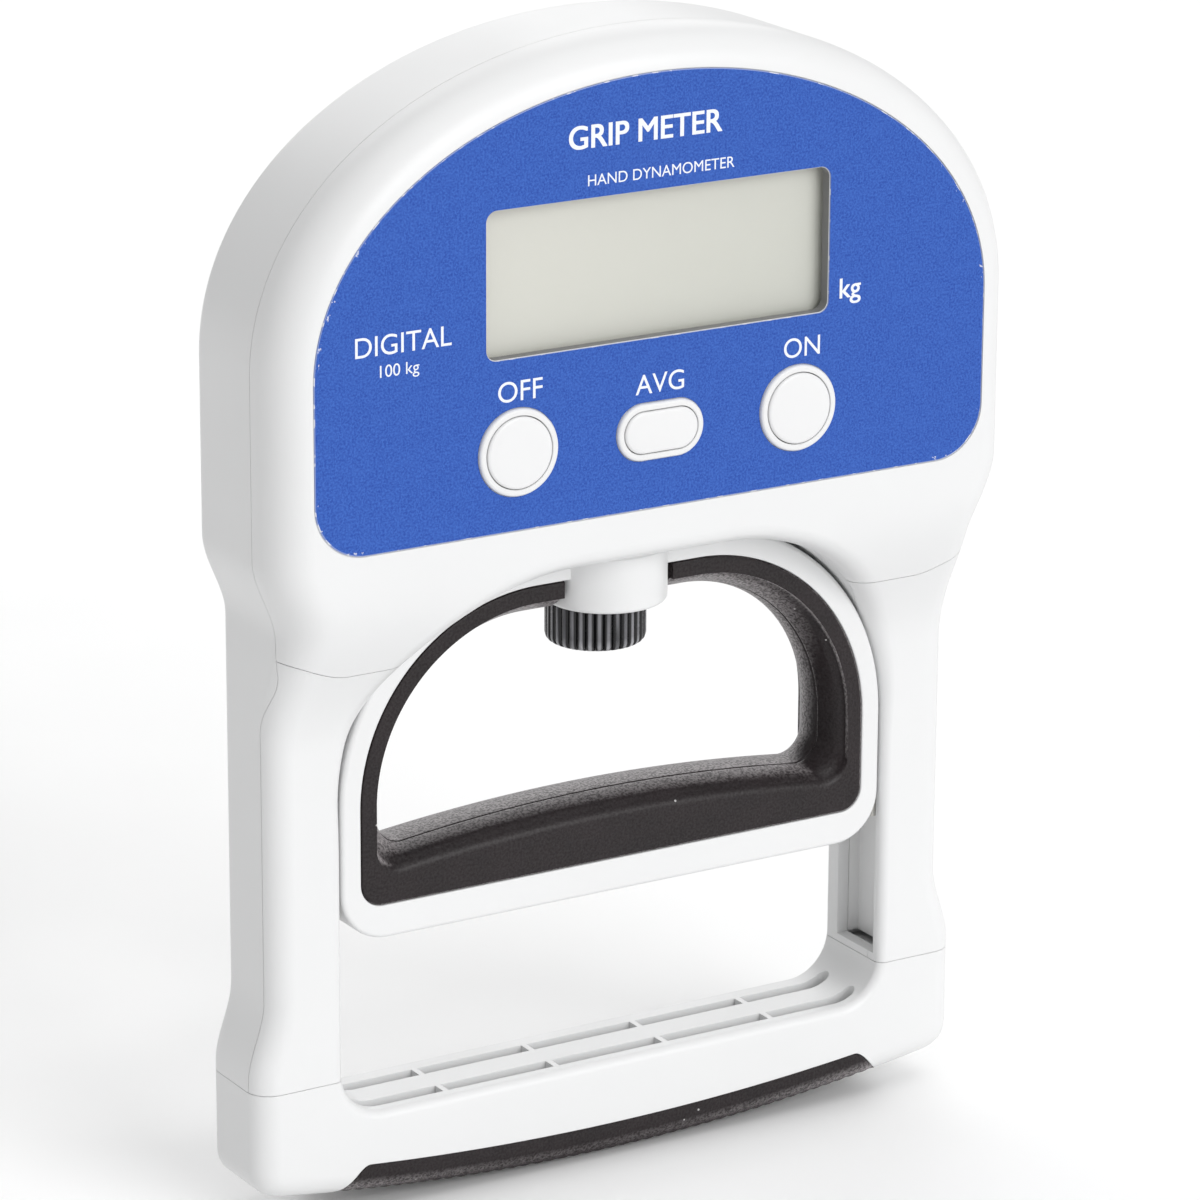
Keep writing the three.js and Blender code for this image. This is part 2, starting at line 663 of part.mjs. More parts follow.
function rearHousing(outside, hollow) {
  const block = common(outside, behindParting(0), above(FOOT_SEAM_Z + SEAM / 2));
  const shell = cut(block, hollow, grooveCutter());
  const posts = atScrews((x, z) => frontRod(SCREW.postRadius, HEAD_PARTING_Y + MERGE, -1, x, z, 20));
  const bores = atScrews((x, z) => frontRod(SCREW.shankRadius + 0.2, BEYOND.front, BEYOND.back, x, z, 16));
  const sinks = atScrews((x, z) => frontRod(SCREW_SINK.radius, -SCREW_SINK.depth, BEYOND.back, x, z, 20));
  const sleeveHole = uprightRod(SLEEVE.radius + SLEEVE_HOLE_GAP, OPENING.top - 5, OPENING.top + 5);
  const doorway = slab(doorShape(DOOR.gap), -2 * WALL, BEYOND.back, 0, 2);
  return cut(join(shell, ...posts), ...bores, ...sinks, sleeveHole, doorway);
}

function rightLegCover(outside, hollow) {
  const band = cut(above(FOOT_SEAM_Z + SEAM / 2), aboveCollarSeam(-SEAM));
  return cut(common(outside, band, rightHalf()), hollow, behindParting(-SEAM), grooveCutter());
}

// The space that the rubber pad fills, as a solid wider than the foot from front to back.
function padRegion(grow) {
  const { topZ, topRadius, shoulderX, tipX, tipZ } = PAD;
  const arc = (x) => topZ + grow + (x * x) / (2 * topRadius);
  const shoulder = shoulderX + grow;
  const tip = tipX + grow;
  const bend = (tip - shoulder) / 2;
  const shape = new THREE.Shape();
  shape.moveTo(-tip, BEYOND.bottom);
  shape.lineTo(tip, BEYOND.bottom);
  shape.lineTo(tip, tipZ);
  shape.bezierCurveTo(tip - bend, tipZ, shoulder + bend, arc(shoulder), shoulder, arc(shoulder));
  spread(8, shoulder, -shoulder).forEach((x) => shape.lineTo(x, arc(x)));
  shape.bezierCurveTo(-shoulder - bend, arc(shoulder), -tip + bend, tipZ, -tip, tipZ);
  return slab(shape, BEYOND.front, BEYOND.back, 0, 6);
}

// The slots in the top of the foot bar, with cross ribs left standing in them.
function slotPockets() {
  const ribs = SLOT_RIB.places.map((x) => box(
    [x - SLOT_RIB.width / 2, BEYOND.front, BEYOND.bottom],
    [x + SLOT_RIB.width / 2, BEYOND.back, 0],
  ));
  return SLOT.rows.map((y) => {
    const plan = stadium(SLOT.halfLength, SLOT.width / 2, y);
    const pocket = column(plan, OPENING.bottom - SLOT.depth, OPENING.bottom + SLOT_HEADROOM, 0, 2);
    return cut(pocket, ...ribs);
  });
}

function footBar(outside) {
  const bar = cut(common(outside, below(FOOT_SEAM_Z - SEAM / 2)), padRegion(PAD_GAP), ...slotPockets());
  const tongue = box(
    [TONGUE.left, TONGUE.front, FOOT_SEAM_Z - TONGUE.below],
    [TONGUE.right, TONGUE.back, FOOT_SEAM_Z + TONGUE.above],
  );
  return join(bar, tongue, mirrored(tongue));
}

function footPad(outside) {
  return common(outside, padRegion(0));
}

function guideRail() {
  const { bottom, floorX, back } = GROOVE;
  const front = GROOVE.front + 0.1;
  const rear = -WALL - 0.1;
  const top = GROOVE.top - RAIL.drop;
  const web = box([floorX, front, bottom], [floorX + RAIL.web, rear, top]);
  const rearLip = box([RAIL.lipX, back, bottom], [floorX + MERGE, rear, top]);
  const frontLip = box([RAIL.lipX, front, bottom], [floorX + MERGE, front + RAIL.frontLip, top]);
  return join(web, rearLip, frontLip);
}

function screw(x, z) {
  const { front, back, slotDepth, slotHalfWidth: across, slotHalfLength: along } = SCREW_HEAD;
  const head = frontRod(SCREW.headRadius, front, back, x, z, 20);
  const shank = frontRod(SCREW.shankRadius, front - SCREW.length, front + MERGE, x, z, 12);
  const floor = back - slotDepth;
  const level = box([x - along, floor, z - across], [x + along, 0, z + across]);
  const upright = box([x - across, floor, z - along], [x + across, 0, z + along]);
  return cut(join(head, shank), level, upright);
}

// ---------------------------------------------------------------------------------------------------
// Display and buttons
// ---------------------------------------------------------------------------------------------------

function frontLabel() {
  const sheet = slab(labelShape(0), HEAD.front, HEAD.front + LABEL_THICK, 0, 14);
  const holes = buttonHoles(
    ROUND_BUTTON.collarRadius + LABEL_GAP,
    LONG_BUTTON.collarHalfLength + LABEL_GAP,
    LONG_BUTTON.collarHalfHeight + LABEL_GAP,
    BEYOND.front, 0,
  );
  return cut(sheet, slab(windowShape(LABEL_GAP), BEYOND.front, 0, 0, 3), ...holes);
}

function displayWindow() {
  const { halfWidth, bottom, top, cornerRadius, thick } = PANE;
  const pane = roundedRectangle(-halfWidth, halfWidth, bottom, top, cornerRadius);
  return slab(pane, INNER_FRONT + GLUE, INNER_FRONT + GLUE + thick, 0, 2);
}

function displayGlass() {
  const { halfWidth, bottom, top, front, thick } = GLASS;
  return middleBox(halfWidth, [front, front + thick], [bottom, top]);
}

function displayHolder() {
  const { halfWidth, bottom, top, wall, thick } = HOLDER;
  const front = INNER_FRONT + GLUE;
  const outer = middleBox(halfWidth, [front, front + thick], [bottom, top]);
  return cut(outer, middleBox(halfWidth - wall, [BEYOND.front, 0], [bottom + wall, top - wall]));
}

function mainBoard() {
  const { halfWidth, bottom, top, front, back } = BOARD;
  const board = middleBox(halfWidth, [front, back], [bottom, top]);
  const processor = middleBox(
    PROCESSOR.halfWidth, [back - MERGE, back + PROCESSOR.thick], [PROCESSOR.bottom, PROCESSOR.top],
  );
  const driver = box(
    [DISPLAY_DRIVER.left, back - MERGE, DISPLAY_DRIVER.bottom],
    [DISPLAY_DRIVER.right, back + DISPLAY_DRIVER.thick, DISPLAY_DRIVER.top],
  );
  return join(board, processor, driver);
}

function switchBody(x) {
  const { half, front, plungerRadius, plungerFront } = SWITCH;
  const body = box([x - half, front, -half], [x + half, BOARD.front - GLUE, half]);
  return join(body, frontRod(plungerRadius, plungerFront, front + MERGE, x, 0, 16));
}

// A round cap with a retaining flange behind the wall and a gently domed front.
function roundCap(x) {
  const front = CAP_PROUD - HEAD.front;
  const radius = ROUND_BUTTON.holeRadius - CAP_CLEARANCE;
  const flangeRadius = radius + CAP_FLANGE.wide;
  const flange = -INNER_FRONT - GLUE;
  const shoulder = new THREE.QuadraticBezierCurve(
    new THREE.Vector2(radius, front - 1.4 * CAP_EDGE),
    new THREE.Vector2(radius, front - 0.3 * CAP_EDGE),
    new THREE.Vector2(radius - 2 * CAP_EDGE, front - 0.2 * CAP_EDGE),
  );
  return turnedFacingFront([
    [0, flange - CAP_FLANGE.thick], [flangeRadius, flange - CAP_FLANGE.thick], [flangeRadius, flange],
    [radius, flange], ...shoulder.getPoints(3).map((point) => point.toArray()), [0, front],
  ], x, 0, 36);
}

function longCap() {
  const halfLength = LONG_BUTTON.halfLength - CAP_CLEARANCE;
  const halfHeight = LONG_BUTTON.halfHeight - CAP_CLEARANCE;
  const back = INNER_FRONT + GLUE + CAP_FLANGE.thick;
  const cap = slab(stadium(halfLength, halfHeight), HEAD.front - CAP_PROUD, back, CAP_EDGE, 5);
  const flangeShape = stadium(halfLength + CAP_FLANGE.wide, halfHeight + CAP_FLANGE.wide);
  return join(cap, slab(flangeShape, INNER_FRONT + GLUE, back, 0, 5));
}

// ---------------------------------------------------------------------------------------------------
// Power
// ---------------------------------------------------------------------------------------------------

function batteryTray() {
  const { halfWidth, bottom, top, front, wall } = TRAY;
  const outer = middleBox(halfWidth, [front, -WALL - 0.1], [bottom, top]);
  const inner = middleBox(halfWidth - wall, [front + wall, 0], [bottom + wall, top - wall]);
  const { halfWidth: ribHalfWidth, bottom: ribBottom, top: ribTop, tall } = TRAY_RIB;
  const rib = middleBox(ribHalfWidth, [front + MERGE, front + tall], [ribBottom, ribTop]);
  return join(cut(outer, inner), rib);
}

function cell(z, towards) {
  const half = CELL.length / 2;
  const can = sideRod(CELL.radius, -half, half, CELL.y, z, 28);
  const nub = towards > 0
    ? sideRod(CELL.nubRadius, half - MERGE, half + CELL.nubLength, CELL.y, z, 16)
    : sideRod(CELL.nubRadius, -half - CELL.nubLength, -half + MERGE, CELL.y, z, 16);
  return join(can, nub);
}

// A contact plate on the right-hand wall of the tray, with a conical leaf in line with each cell.
function contactPlate(bottom, top) {
  const { front, back, thick, tipRadius, rootRadius, gap } = CONTACT;
  const near = CELL.length / 2 + CELL.nubLength + gap;
  const far = TRAY.halfWidth - TRAY.wall - 2 * GLUE;
  const root = far - thick + MERGE;
  const plate = box([far - thick, front, bottom], [far, back, top]);
  const leaves = [CELL_Z.low, CELL_Z.high]
    .filter((z) => z > bottom && z < top)
    .map((z) => turned([[0, near], [tipRadius, near], [rootRadius, root], [0, root]], 0, 0, 16)
      .rotate([0, 90, 0])
      .translate([0, CELL.y, z]));
  return join(plate, ...leaves);
}

function doorShape(grow) {
  const { halfWidth, bottom, top, cornerRadius } = DOOR;
  return roundedRectangle(-halfWidth - grow, halfWidth + grow, bottom - grow, top + grow, cornerRadius);
}

function batteryDoor() {
  const { count, halfWidth, depth, height, pitch, fromTop } = DOOR_GRIPS;
  const grips = Array.from({ length: count }, (_, k) => {
    const low = DOOR.top - fromTop - pitch * k;
    return middleBox(halfWidth, [-depth, 1], [low, low + height]);
  });
  return cut(slab(doorShape(0), -DOOR.thick, 0, 0, 2), ...grips);
}

// ---------------------------------------------------------------------------------------------------
// Measuring works
// ---------------------------------------------------------------------------------------------------

function springBase() {
  const plate = middleBox(BASE.halfWidth, [BASE.front, BASE.back], [BASE.bottom, BASE.top]);
  return cut(plate, uprightRod(SLEEVE.radius + SLEEVE_HOLE_GAP, BASE.bottom - 1, BASE.top + 1));
}

function crosshead() {
  const { halfWidth, front, back, bottom, top } = CROSSHEAD;
  const bar = middleBox(halfWidth, [front, back], [bottom, top]);
  const { radius, length } = SPRING_PIN;
  const pin = (x) => uprightRod(radius, bottom - length, bottom + MERGE, x, AXIS_Y, 16);
  const sleeveHole = uprightRod(SLEEVE.radius + GLUE, bottom - 1, top + 1);
  return cut(join(bar, pin(-SPRING.x), pin(SPRING.x)), sleeveHole);
}

function pullSleeve() {
  const { radius, bottom, top, flangeRadius, flangeZ } = SLEEVE;
  const bore = SPINDLE.radius + RUNNING;
  const body = turned([
    [0, bottom], [radius, bottom], [radius, flangeZ],
    [flangeRadius, flangeZ], [flangeRadius, top], [0, top],
  ], 0, AXIS_Y, 28);
  return cut(body, uprightRod(bore, bottom - 1, top + 1));
}

// The middle line of a spring between two levels; its turns lie closer together at both ends.
class CoilCurve extends THREE.Curve {
  constructor(x, bottom, top) {
    super();
    this.x = x;
    this.bottom = bottom + SPRING.wireRadius + GLUE;
    this.height = top - bottom - 2 * SPRING.wireRadius - 2 * GLUE;
  }

  getPoint(t, target = new THREE.Vector3()) {
    const angle = 2 * Math.PI * SPRING.turns * t;
    const rise = t - (SPRING.closing * Math.sin(2 * Math.PI * t)) / (2 * Math.PI);
    return target.set(
      this.x + SPRING.coilRadius * Math.cos(angle),
      AXIS_Y + SPRING.coilRadius * Math.sin(angle),
      this.bottom + this.height * rise,
    );
  }
}

function measuringSpring(x) {
  return wire(new CoilCurve(x, BASE.top, CROSSHEAD.bottom), SPRING.wireRadius, 100, 3);
}

function rack() {
  const { left, right, bottom, top, front, back } = RACK;
  const { depth, pitch } = RACK_TEETH;
  const bar = box([left, front, bottom], [right, back, top]);
  const count = Math.floor((top - bottom) / pitch) - 1;
  const gaps = Array.from({ length: count }, (_, k) => {
    const z = bottom + pitch * (k + 1);
    return box([right - depth, front - 1, z - pitch / 4], [right + 1, back + 1, z + pitch / 4]);
  });
  return cut(bar, ...gaps);
}

// A toothed wheel; each tooth has four corners, placed in fractions of the tooth pitch.
function pinion() {
  const { x, z, radius, toothDepth, teeth, shaftRadius } = PINION;
  const root = radius - toothDepth;
  const corners = [[-0.22, root], [-0.12, radius], [0.12, radius], [0.22, root]];
  const points = Array.from({ length: teeth }, (_, tooth) => corners.map(([offset, r]) => {
    const angle = (2 * Math.PI * (tooth + offset)) / teeth;
    return new THREE.Vector2(x + r * Math.cos(angle), z + r * Math.sin(angle));
  }));
  const wheel = slab(new THREE.Shape(points.flat()), RACK.front, RACK.back);
  return join(wheel, frontRod(shaftRadius, PINION_SHAFT.front, PINION_SHAFT.back, x, z, 16));
}

function rotarySensor() {
  const { radius, front, back } = SENSOR;
  const { from, to, halfHeight, thick } = SENSOR_LUG;
  const can = frontRod(radius, front, back, PINION.x, PINION.z, 32);
  const lug = box(
    [PINION.x + from, front, PINION.z - halfHeight],
    [PINION.x + to, front + thick, PINION.z + halfHeight],
  );
  const bore = frontRod(PINION.shaftRadius + RUNNING, BEYOND.front, back - 1, PINION.x, PINION.z, 16);
  return cut(join(can, lug), bore);
}

function sensorCable() {
  const curve = new THREE.CatmullRomCurve3([
    new THREE.Vector3(PINION.x + 9, SENSOR.front - CABLE_RADIUS - 0.2, PINION.z),
    new THREE.Vector3(PINION.x + 9.5, -13, PINION.z + 3),
    new THREE.Vector3(PINION.x + 6, -18, PINION.z + 10),
    new THREE.Vector3(PINION.x + 2.5, BOARD.back + CABLE_RADIUS + 0.2, PINION.z + 14),
  ]);
  return wire(curve, CABLE_RADIUS, 12, 4);
}

function batteryCable() {
  const curve = new THREE.CatmullRomCurve3([
    new THREE.Vector3(TRAY.halfWidth + 1.1, -9, 52),
    new THREE.Vector3(TRAY.halfWidth + 4, -12, 50),
    new THREE.Vector3(TRAY.halfWidth + 5, -17, 46),
    new THREE.Vector3(TRAY.halfWidth + 3.5, BOARD.back + CABLE_RADIUS + 0.2, 42),
  ]);
  return wire(curve, CABLE_RADIUS, 12, 4);
}

// ---------------------------------------------------------------------------------------------------
// Handle
// ---------------------------------------------------------------------------------------------------

function bossPlan() {
  const { radius, y, backCorner } = BOSS;
  const back = HANDLE_DEPTH.back;
  const shape = new THREE.Shape();
  shape.moveTo(-radius + backCorner, back);
  shape.quadraticCurveTo(-radius, back, -radius, back - backCorner);
  shape.absarc(0, y, radius, Math.PI, 2 * Math.PI, false);
  shape.lineTo(radius, back - backCorner);
  shape.quadraticCurveTo(radius, back, radius - backCorner, back);
  return shape;
}

function handleFrame() {
  const hoop = archShape(HANDLE);
  hoop.holes.push(new THREE.Path(archShape(LINER).getPoints(7)));
  const frame = slab(hoop, HANDLE_DEPTH.front, HANDLE_DEPTH.back, HANDLE_EDGE);
  const boss = column(bossPlan(), BOSS.bottom, HANDLE.top, BOSS_EDGE);
  const bore = uprightRod(SPINDLE.radius + RUNNING, BOSS.bottom - 1, 0);
  const clipPocket = uprightRod(CLIP.radius + CLIP.pocket, CLIP.bottom - 0.4, 0);
  return cut(join(frame, boss), bore, clipPocket);
}

// One loop of the liner's inner surface. Depth runs from -1 at the front rim to 1 at the back rim.
function linerInnerLoop(depth) {
  const swell = (1 - depth * depth) ** 1.5;
  const arch = shrunk(LINER, LINER_RIM + LINER_BULGE * swell);
  const roundOver = Math.sqrt(1 - depth * depth);
  arch.bottom = THREE.MathUtils.lerp(GRIP.edgeZ, GRIP.crownZ - GRIP.arch, roundOver);
  arch.bottomRadius = LINER_CORNER;
  return archShape(arch, GRIP.arch).getPoints(6).slice(0, -1);
}

function handleLiner() {
  const { front, back } = HANDLE_DEPTH;
  const middle = (front + back) / 2;
  const reach = (back - front) / 2;
  const at = (points, y) => points.map((p) => [p.x, y, p.y]).reverse();
  const outer = archShape(shrunk(LINER, 2 * GLUE)).getPoints(6).slice(0, -1);
  const loops = [at(outer, front)];
  for (const depth of [-1, -0.92, -0.7, -0.4, 0, 0.4, 0.7, 0.92, 1]) {
    loops.push(at(linerInnerLoop(depth), middle + reach * depth));
  }
  loops.push(at(outer, back));
  const gap = middleBox(BOSS.radius + 3 * GLUE, [BEYOND.front, BEYOND.back], [BOSS.bottom - 5, 0]);
  return cut(ringSolid(loops), gap);
}

function guideShoe() {
  const { front, back, top, bottom, tipX } = SHOE;
  return box([HANDLE.halfWidth + GLUE, front, bottom], [tipX, back, top]);
}

function ribbedPlan() {
  const shape = new THREE.Shape();
  const steps = KNOB.ribs * 4;
  for (let k = 0; k < steps; k++) {
    const inGroove = k % 4 === 3;
    const radius = inGroove ? KNOB.radius - KNOB.ribDepth : KNOB.radius;
    const angle = (2 * Math.PI * k) / steps;
    const point = [radius * Math.cos(angle), AXIS_Y + radius * Math.sin(angle)];
    if (k === 0) {
      shape.moveTo(...point);
    } else {
      shape.lineTo(...point);
    }
  }
  return shape;
}

function knob() {
  const { radius, top, bottom, chamfer } = KNOB;
  const ribbed = column(ribbedPlan(), bottom, top);
  const envelope = turned([
    [0, bottom], [radius - chamfer, bottom], [radius - chamfer * 0.3, bottom + chamfer * 0.35],
    [radius + 0.1, bottom + chamfer], [radius + 0.1, top], [0, top],
  ], 0, AXIS_Y, 40);
  return cut(common(ribbed, envelope), spindleSeat());
}

// The hole in the pieces that are fixed to the spindle.
function spindleSeat() {
  return uprightRod(SPINDLE.radius + GLUE, SPINDLE.bottom - GLUE, 0);
}

function thrustWasher() {
  return cut(uprightRod(WASHER.radius, WASHER.bottom, WASHER.top), spindleSeat());
}

function spindleClip() {
  return cut(uprightRod(CLIP.radius, CLIP.bottom, CLIP.top), spindleSeat());
}

// ---------------------------------------------------------------------------------------------------
// Assembly
// ---------------------------------------------------------------------------------------------------

const dynamometer = new THREE.Group();
dynamometer.name = "hand_dynamometer";

function add(name, solid, look) {
  const mesh = new THREE.Mesh(geometryOf(solid), new THREE.MeshStandardMaterial(look));
  mesh.name = name;
  dynamometer.add(mesh);
}

const outside = bodyOutside();
const hollow = common(bodyHollow(), above(FOOT_SEAM_Z - 1));

add("front_cover", frontCover(outside, hollow), WHITE);
add("rear_housing", rearHousing(outside, hollow), WHITE);
add("leg_cover_left", mirrored(rightLegCover(outside, hollow)), WHITE);
add("leg_cover_right", rightLegCover(outside, hollow), WHITE);
add("foot_bar", footBar(outside), WHITE);
add("foot_pad", footPad(outside), BLACK_RUBBER);
add("guide_rail_right", guideRail(), PALE_GREY);
add("guide_rail_left", mirrored(guideRail()), PALE_GREY);
atScrews(screw).forEach((solid, k) => add(`rear_screw_${k + 1}`, solid, STEEL));

add("front_label", frontLabel(), BLUE_PRINT);
add("display_window", displayWindow(), CLEAR);
add("display_glass", displayGlass(), DISPLAY_GREY);
add("display_holder", displayHolder(), BLACK_PLASTIC);
add("main_board", mainBoard(), BOARD_GREEN);
add("off_switch", switchBody(-ROUND_BUTTON.x), BLACK_PLASTIC);
add("average_switch", switchBody(0), BLACK_PLASTIC);
add("on_switch", switchBody(ROUND_BUTTON.x), BLACK_PLASTIC);
add("off_button", roundCap(-ROUND_BUTTON.x), WHITE_CAP);
add("average_button", longCap(), WHITE_CAP);
add("on_button", roundCap(ROUND_BUTTON.x), WHITE_CAP);

add("battery_tray", batteryTray(), BLACK_PLASTIC);
add("battery_upper", cell(CELL_Z.high, 1), CELL_WRAP);
add("battery_lower", cell(CELL_Z.low, -1), CELL_WRAP);
add("contact_link", mirrored(contactPlate(CONTACT_Z.bottom, CONTACT_Z.top)), NICKEL);
add("contact_upper", contactPlate(CONTACT_Z.highBottom, CONTACT_Z.top), NICKEL);
add("contact_lower", contactPlate(CONTACT_Z.bottom, CONTACT_Z.lowTop), NICKEL);
add("battery_door", batteryDoor(), WHITE);
add("battery_cable", batteryCable(), RED_WIRE);

add("spring_base", springBase(), STEEL);
add("crosshead", crosshead(), STEEL);
add("pull_sleeve", pullSleeve(), BRASS);
add("measuring_spring_left", measuringSpring(-SPRING.x), SPRING_STEEL);
add("measuring_spring_right", measuringSpring(SPRING.x), SPRING_STEEL);
add("rack", rack(), WHITE_ACETAL);
add("sensor_pinion", pinion(), WHITE_ACETAL);
add("rotary_sensor", rotarySensor(), BLACK_PLASTIC);
add("sensor_cable", sensorCable(), BLACK_PLASTIC);

add("handle_frame", handleFrame(), WHITE);
add("handle_liner", handleLiner(), BLACK_RUBBER);
add("guide_shoe_right", guideShoe(), WHITE_ACETAL);
add("guide_shoe_left", mirrored(guideShoe()), WHITE_ACETAL);
add("adjusting_knob", knob(), BLACK_PLASTIC);
add("thrust_washer", thrustWasher(), BLACK_PLASTIC);
add("spindle", uprightRod(SPINDLE.radius, SPINDLE.bottom, SPINDLE.top), STEEL);
add("spindle_clip", spindleClip(), SPRING_STEEL);

export default dynamometer;
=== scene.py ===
import math
from functools import partial

import bmesh
import bpy
import numpy as np
from mathutils import Matrix, Vector


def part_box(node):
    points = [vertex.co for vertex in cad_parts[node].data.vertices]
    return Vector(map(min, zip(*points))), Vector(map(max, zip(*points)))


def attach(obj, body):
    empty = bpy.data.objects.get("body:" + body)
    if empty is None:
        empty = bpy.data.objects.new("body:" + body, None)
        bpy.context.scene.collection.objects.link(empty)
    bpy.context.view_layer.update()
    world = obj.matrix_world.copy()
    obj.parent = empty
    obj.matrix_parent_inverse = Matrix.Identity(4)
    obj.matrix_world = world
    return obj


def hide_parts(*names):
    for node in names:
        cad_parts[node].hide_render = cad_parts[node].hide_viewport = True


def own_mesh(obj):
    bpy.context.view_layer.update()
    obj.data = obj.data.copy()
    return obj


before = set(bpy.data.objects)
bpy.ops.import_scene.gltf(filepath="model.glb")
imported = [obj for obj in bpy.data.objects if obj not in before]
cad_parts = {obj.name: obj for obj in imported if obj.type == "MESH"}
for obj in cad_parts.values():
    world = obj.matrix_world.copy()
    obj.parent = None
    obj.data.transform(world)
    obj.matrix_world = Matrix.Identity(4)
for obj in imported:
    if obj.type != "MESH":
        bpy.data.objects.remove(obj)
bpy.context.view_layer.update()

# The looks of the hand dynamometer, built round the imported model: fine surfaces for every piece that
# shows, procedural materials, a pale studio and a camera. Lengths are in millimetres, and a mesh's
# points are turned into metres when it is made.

MM = 0.001
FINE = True

# ---- Driving dimensions ----


def cad_box(node):
    """Lowest and highest corner of a CAD node, in millimetres."""
    low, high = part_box(node)
    return low / MM, high / MM


LABEL_LOW, LABEL_HIGH = cad_box("front_label")
COVER_HIGH = cad_box("front_cover")[1]
HANDLE_LOW, HANDLE_HIGH = cad_box("handle_frame")
FOOT_HIGH = cad_box("foot_bar")[1]
PAD_LOW = cad_box("foot_pad")[0]
KNOB_LOW, KNOB_HIGH = cad_box("adjusting_knob")
SPINDLE_LOW, SPINDLE_HIGH = cad_box("spindle")
GLASS_LOW, GLASS_HIGH = cad_box("display_glass")
ROUND_LOW, ROUND_HIGH = cad_box("on_button")
DOOR_LOW, DOOR_HIGH = cad_box("battery_door")

WALL = 2.4
SEAM = 0.08
AXIS_Y = (SPINDLE_LOW.y + SPINDLE_HIGH.y) / 2

HEAD_FRONT = LABEL_LOW.y
HEAD_HALF = COVER_HIGH.x
DOME_Z = 17.0
DOME_HEIGHT = COVER_HIGH.z - DOME_Z
DOME_POWER = 2.05
LEG_HALF = 72.6
LEG_FRONT = -19.0
FOOT_HALF = FOOT_HIGH.x
FOOT_BOTTOM_Z = PAD_LOW.z
FOOT_BOTTOM_RADIUS = 439.0
FOOT_CORNER = (70.0, -133.0)
NECK = (-15.5, -31.0)
ANKLE = (-101.0, -116.0)
SWEEP = (-22.0, -54.0)
HEAD_FILLET = (7.2, 8.5)
LEG_FILLET = (4.7, 4.7)
OPENING_FILLET = (3.6, 1.8)
OPENING_FILLET_CHANGE = (-45.0, -75.0)
BACK_FILLET = 3.0

OPENING = dict(half=58.4, top=-24.2, top_radius=42.5, bottom=-125.3, bottom_radius=8.6)
OPENING_MIDDLE_Z = -72.0
HEAD_PARTING_Y = -21.2
LEG_PARTING_Y = -14.9
PARTING_STEP = (-37.0, -50.0)
COLLAR_SEAM = dict(z=-38.4, rise_from=60.0, rise_to=74.0, rise=4.0)
FOOT_SEAM_Z = -117.8

LABEL_DOME_HEIGHT = LABEL_HIGH.z - DOME_Z
LABEL_CORNER = 10.0
LABEL_GAP = 0.15
LABEL_WEAR = 0.8
WINDOW = dict(half=35.6, bottom=17.2, top=44.0, radius=2.0)
ROUND_X = (ROUND_LOW.x + ROUND_HIGH.x) / 2
ROUND_HOLE = 6.75
ROUND_COLLAR = 8.03
LONG_HOLE = (7.75, 4.0)
LONG_COLLAR = (9.0, 5.27)
COLLAR_PROUD = 0.7
CAP_GAP = 0.14
BUTTONS = {  # middle, size of the hole, size of the collar; a long button has two half sizes
    "off": (-ROUND_X, ROUND_HOLE, ROUND_COLLAR),
    "on": (ROUND_X, ROUND_HOLE, ROUND_COLLAR),
    "average": (0, LONG_HOLE, LONG_COLLAR),
}

HANDLE = dict(half=HANDLE_HIGH.x, top=-25.2, top_radius=41.5, bottom=HANDLE_LOW.z, bottom_radius=9.5)
HANDLE_FRONT = -18.0
HANDLE_BACK = HANDLE_HIGH.y
LINER = dict(half=54.0, top=-30.2, top_radius=36.8, bottom=-85.7, bottom_radius=4.5)
LINER_RIM = 3.3
LINER_BULGE = 3.6
LINER_CORNER = 5.0
LINER_MOULD_LINE = -0.3
GRIP = dict(edge=-80.4, crown=-73.5, arch=2.7)
BOSS = dict(radius=11.4, y=-13.1, bottom=-36.3)
KNOB_RIBS = 34

PAD_RIB_PITCH = 2.7
PAD_RIB_DEPTH = 0.25
PAD_RIB_RISE = (-128.0, -138.0)
PAD = dict(top=-138.1, radius=520.0, shoulder=53.0, tip=60.0, tip_z=-140.3)
SLOT_ROWS = (-14.6, -5.6)
SLOT_HALF = 55.4
SLOT_WIDTH = 3.0
SLOT_DEPTH = 9.0
SLOT_HEADROOM = 7.5
SLOT_RIBS = (-35.6, -11.9, 11.9, 35.6)
SLOT_RIB_WIDTH = 1.2
GROOVE = dict(front=-16.6, back=-4.2, top=-60.0, bottom=-116.3, floor=63.2)
SCREW_HOLE = dict(shank=1.7, sink=3.0, depth=2.0, lip=0.35)
SLEEVE_HOLE = 6.0
DOOR_GAP = 0.3
DOOR_CORNER = 2.0
THREAD_PITCH = 1.25
THREAD_DEPTH = 0.6
BEYOND = 120.0

# ---- Meshes ----


def in_scene(name, data):
    obj = bpy.data.objects.new(name, data)
    bpy.context.scene.collection.objects.link(obj)
    return obj


def new_object(name, points, faces):
    mesh = bpy.data.meshes.new(name)
    mesh.from_pydata((np.asarray(points, float) * MM).tolist(), [], [list(f) for f in faces])
    mesh.update()
    return in_scene(name, mesh)


def ring_faces(loops, around, closed_section):
    """Quads between neighbouring loops of points; every loop closes on itself."""
    steps = loops if closed_section else loops - 1
    loop, k = np.meshgrid(np.arange(steps), np.arange(around), indexing="ij")
    following = (loop + 1) % loops
    after = (k + 1) % around
    quads = (loop * around + k, following * around + k, following * around + after, loop * around + after)
    return np.stack([q.ravel() for q in quads], axis=1)


def ring(name, loops):
    """A ring-shaped solid from an array of loops, clockwise seen from the front, outside first."""
    loops = np.asarray(loops, float)
    count, around, _ = loops.shape
    return new_object(name, loops.reshape(-1, 3), ring_faces(count, around, True))


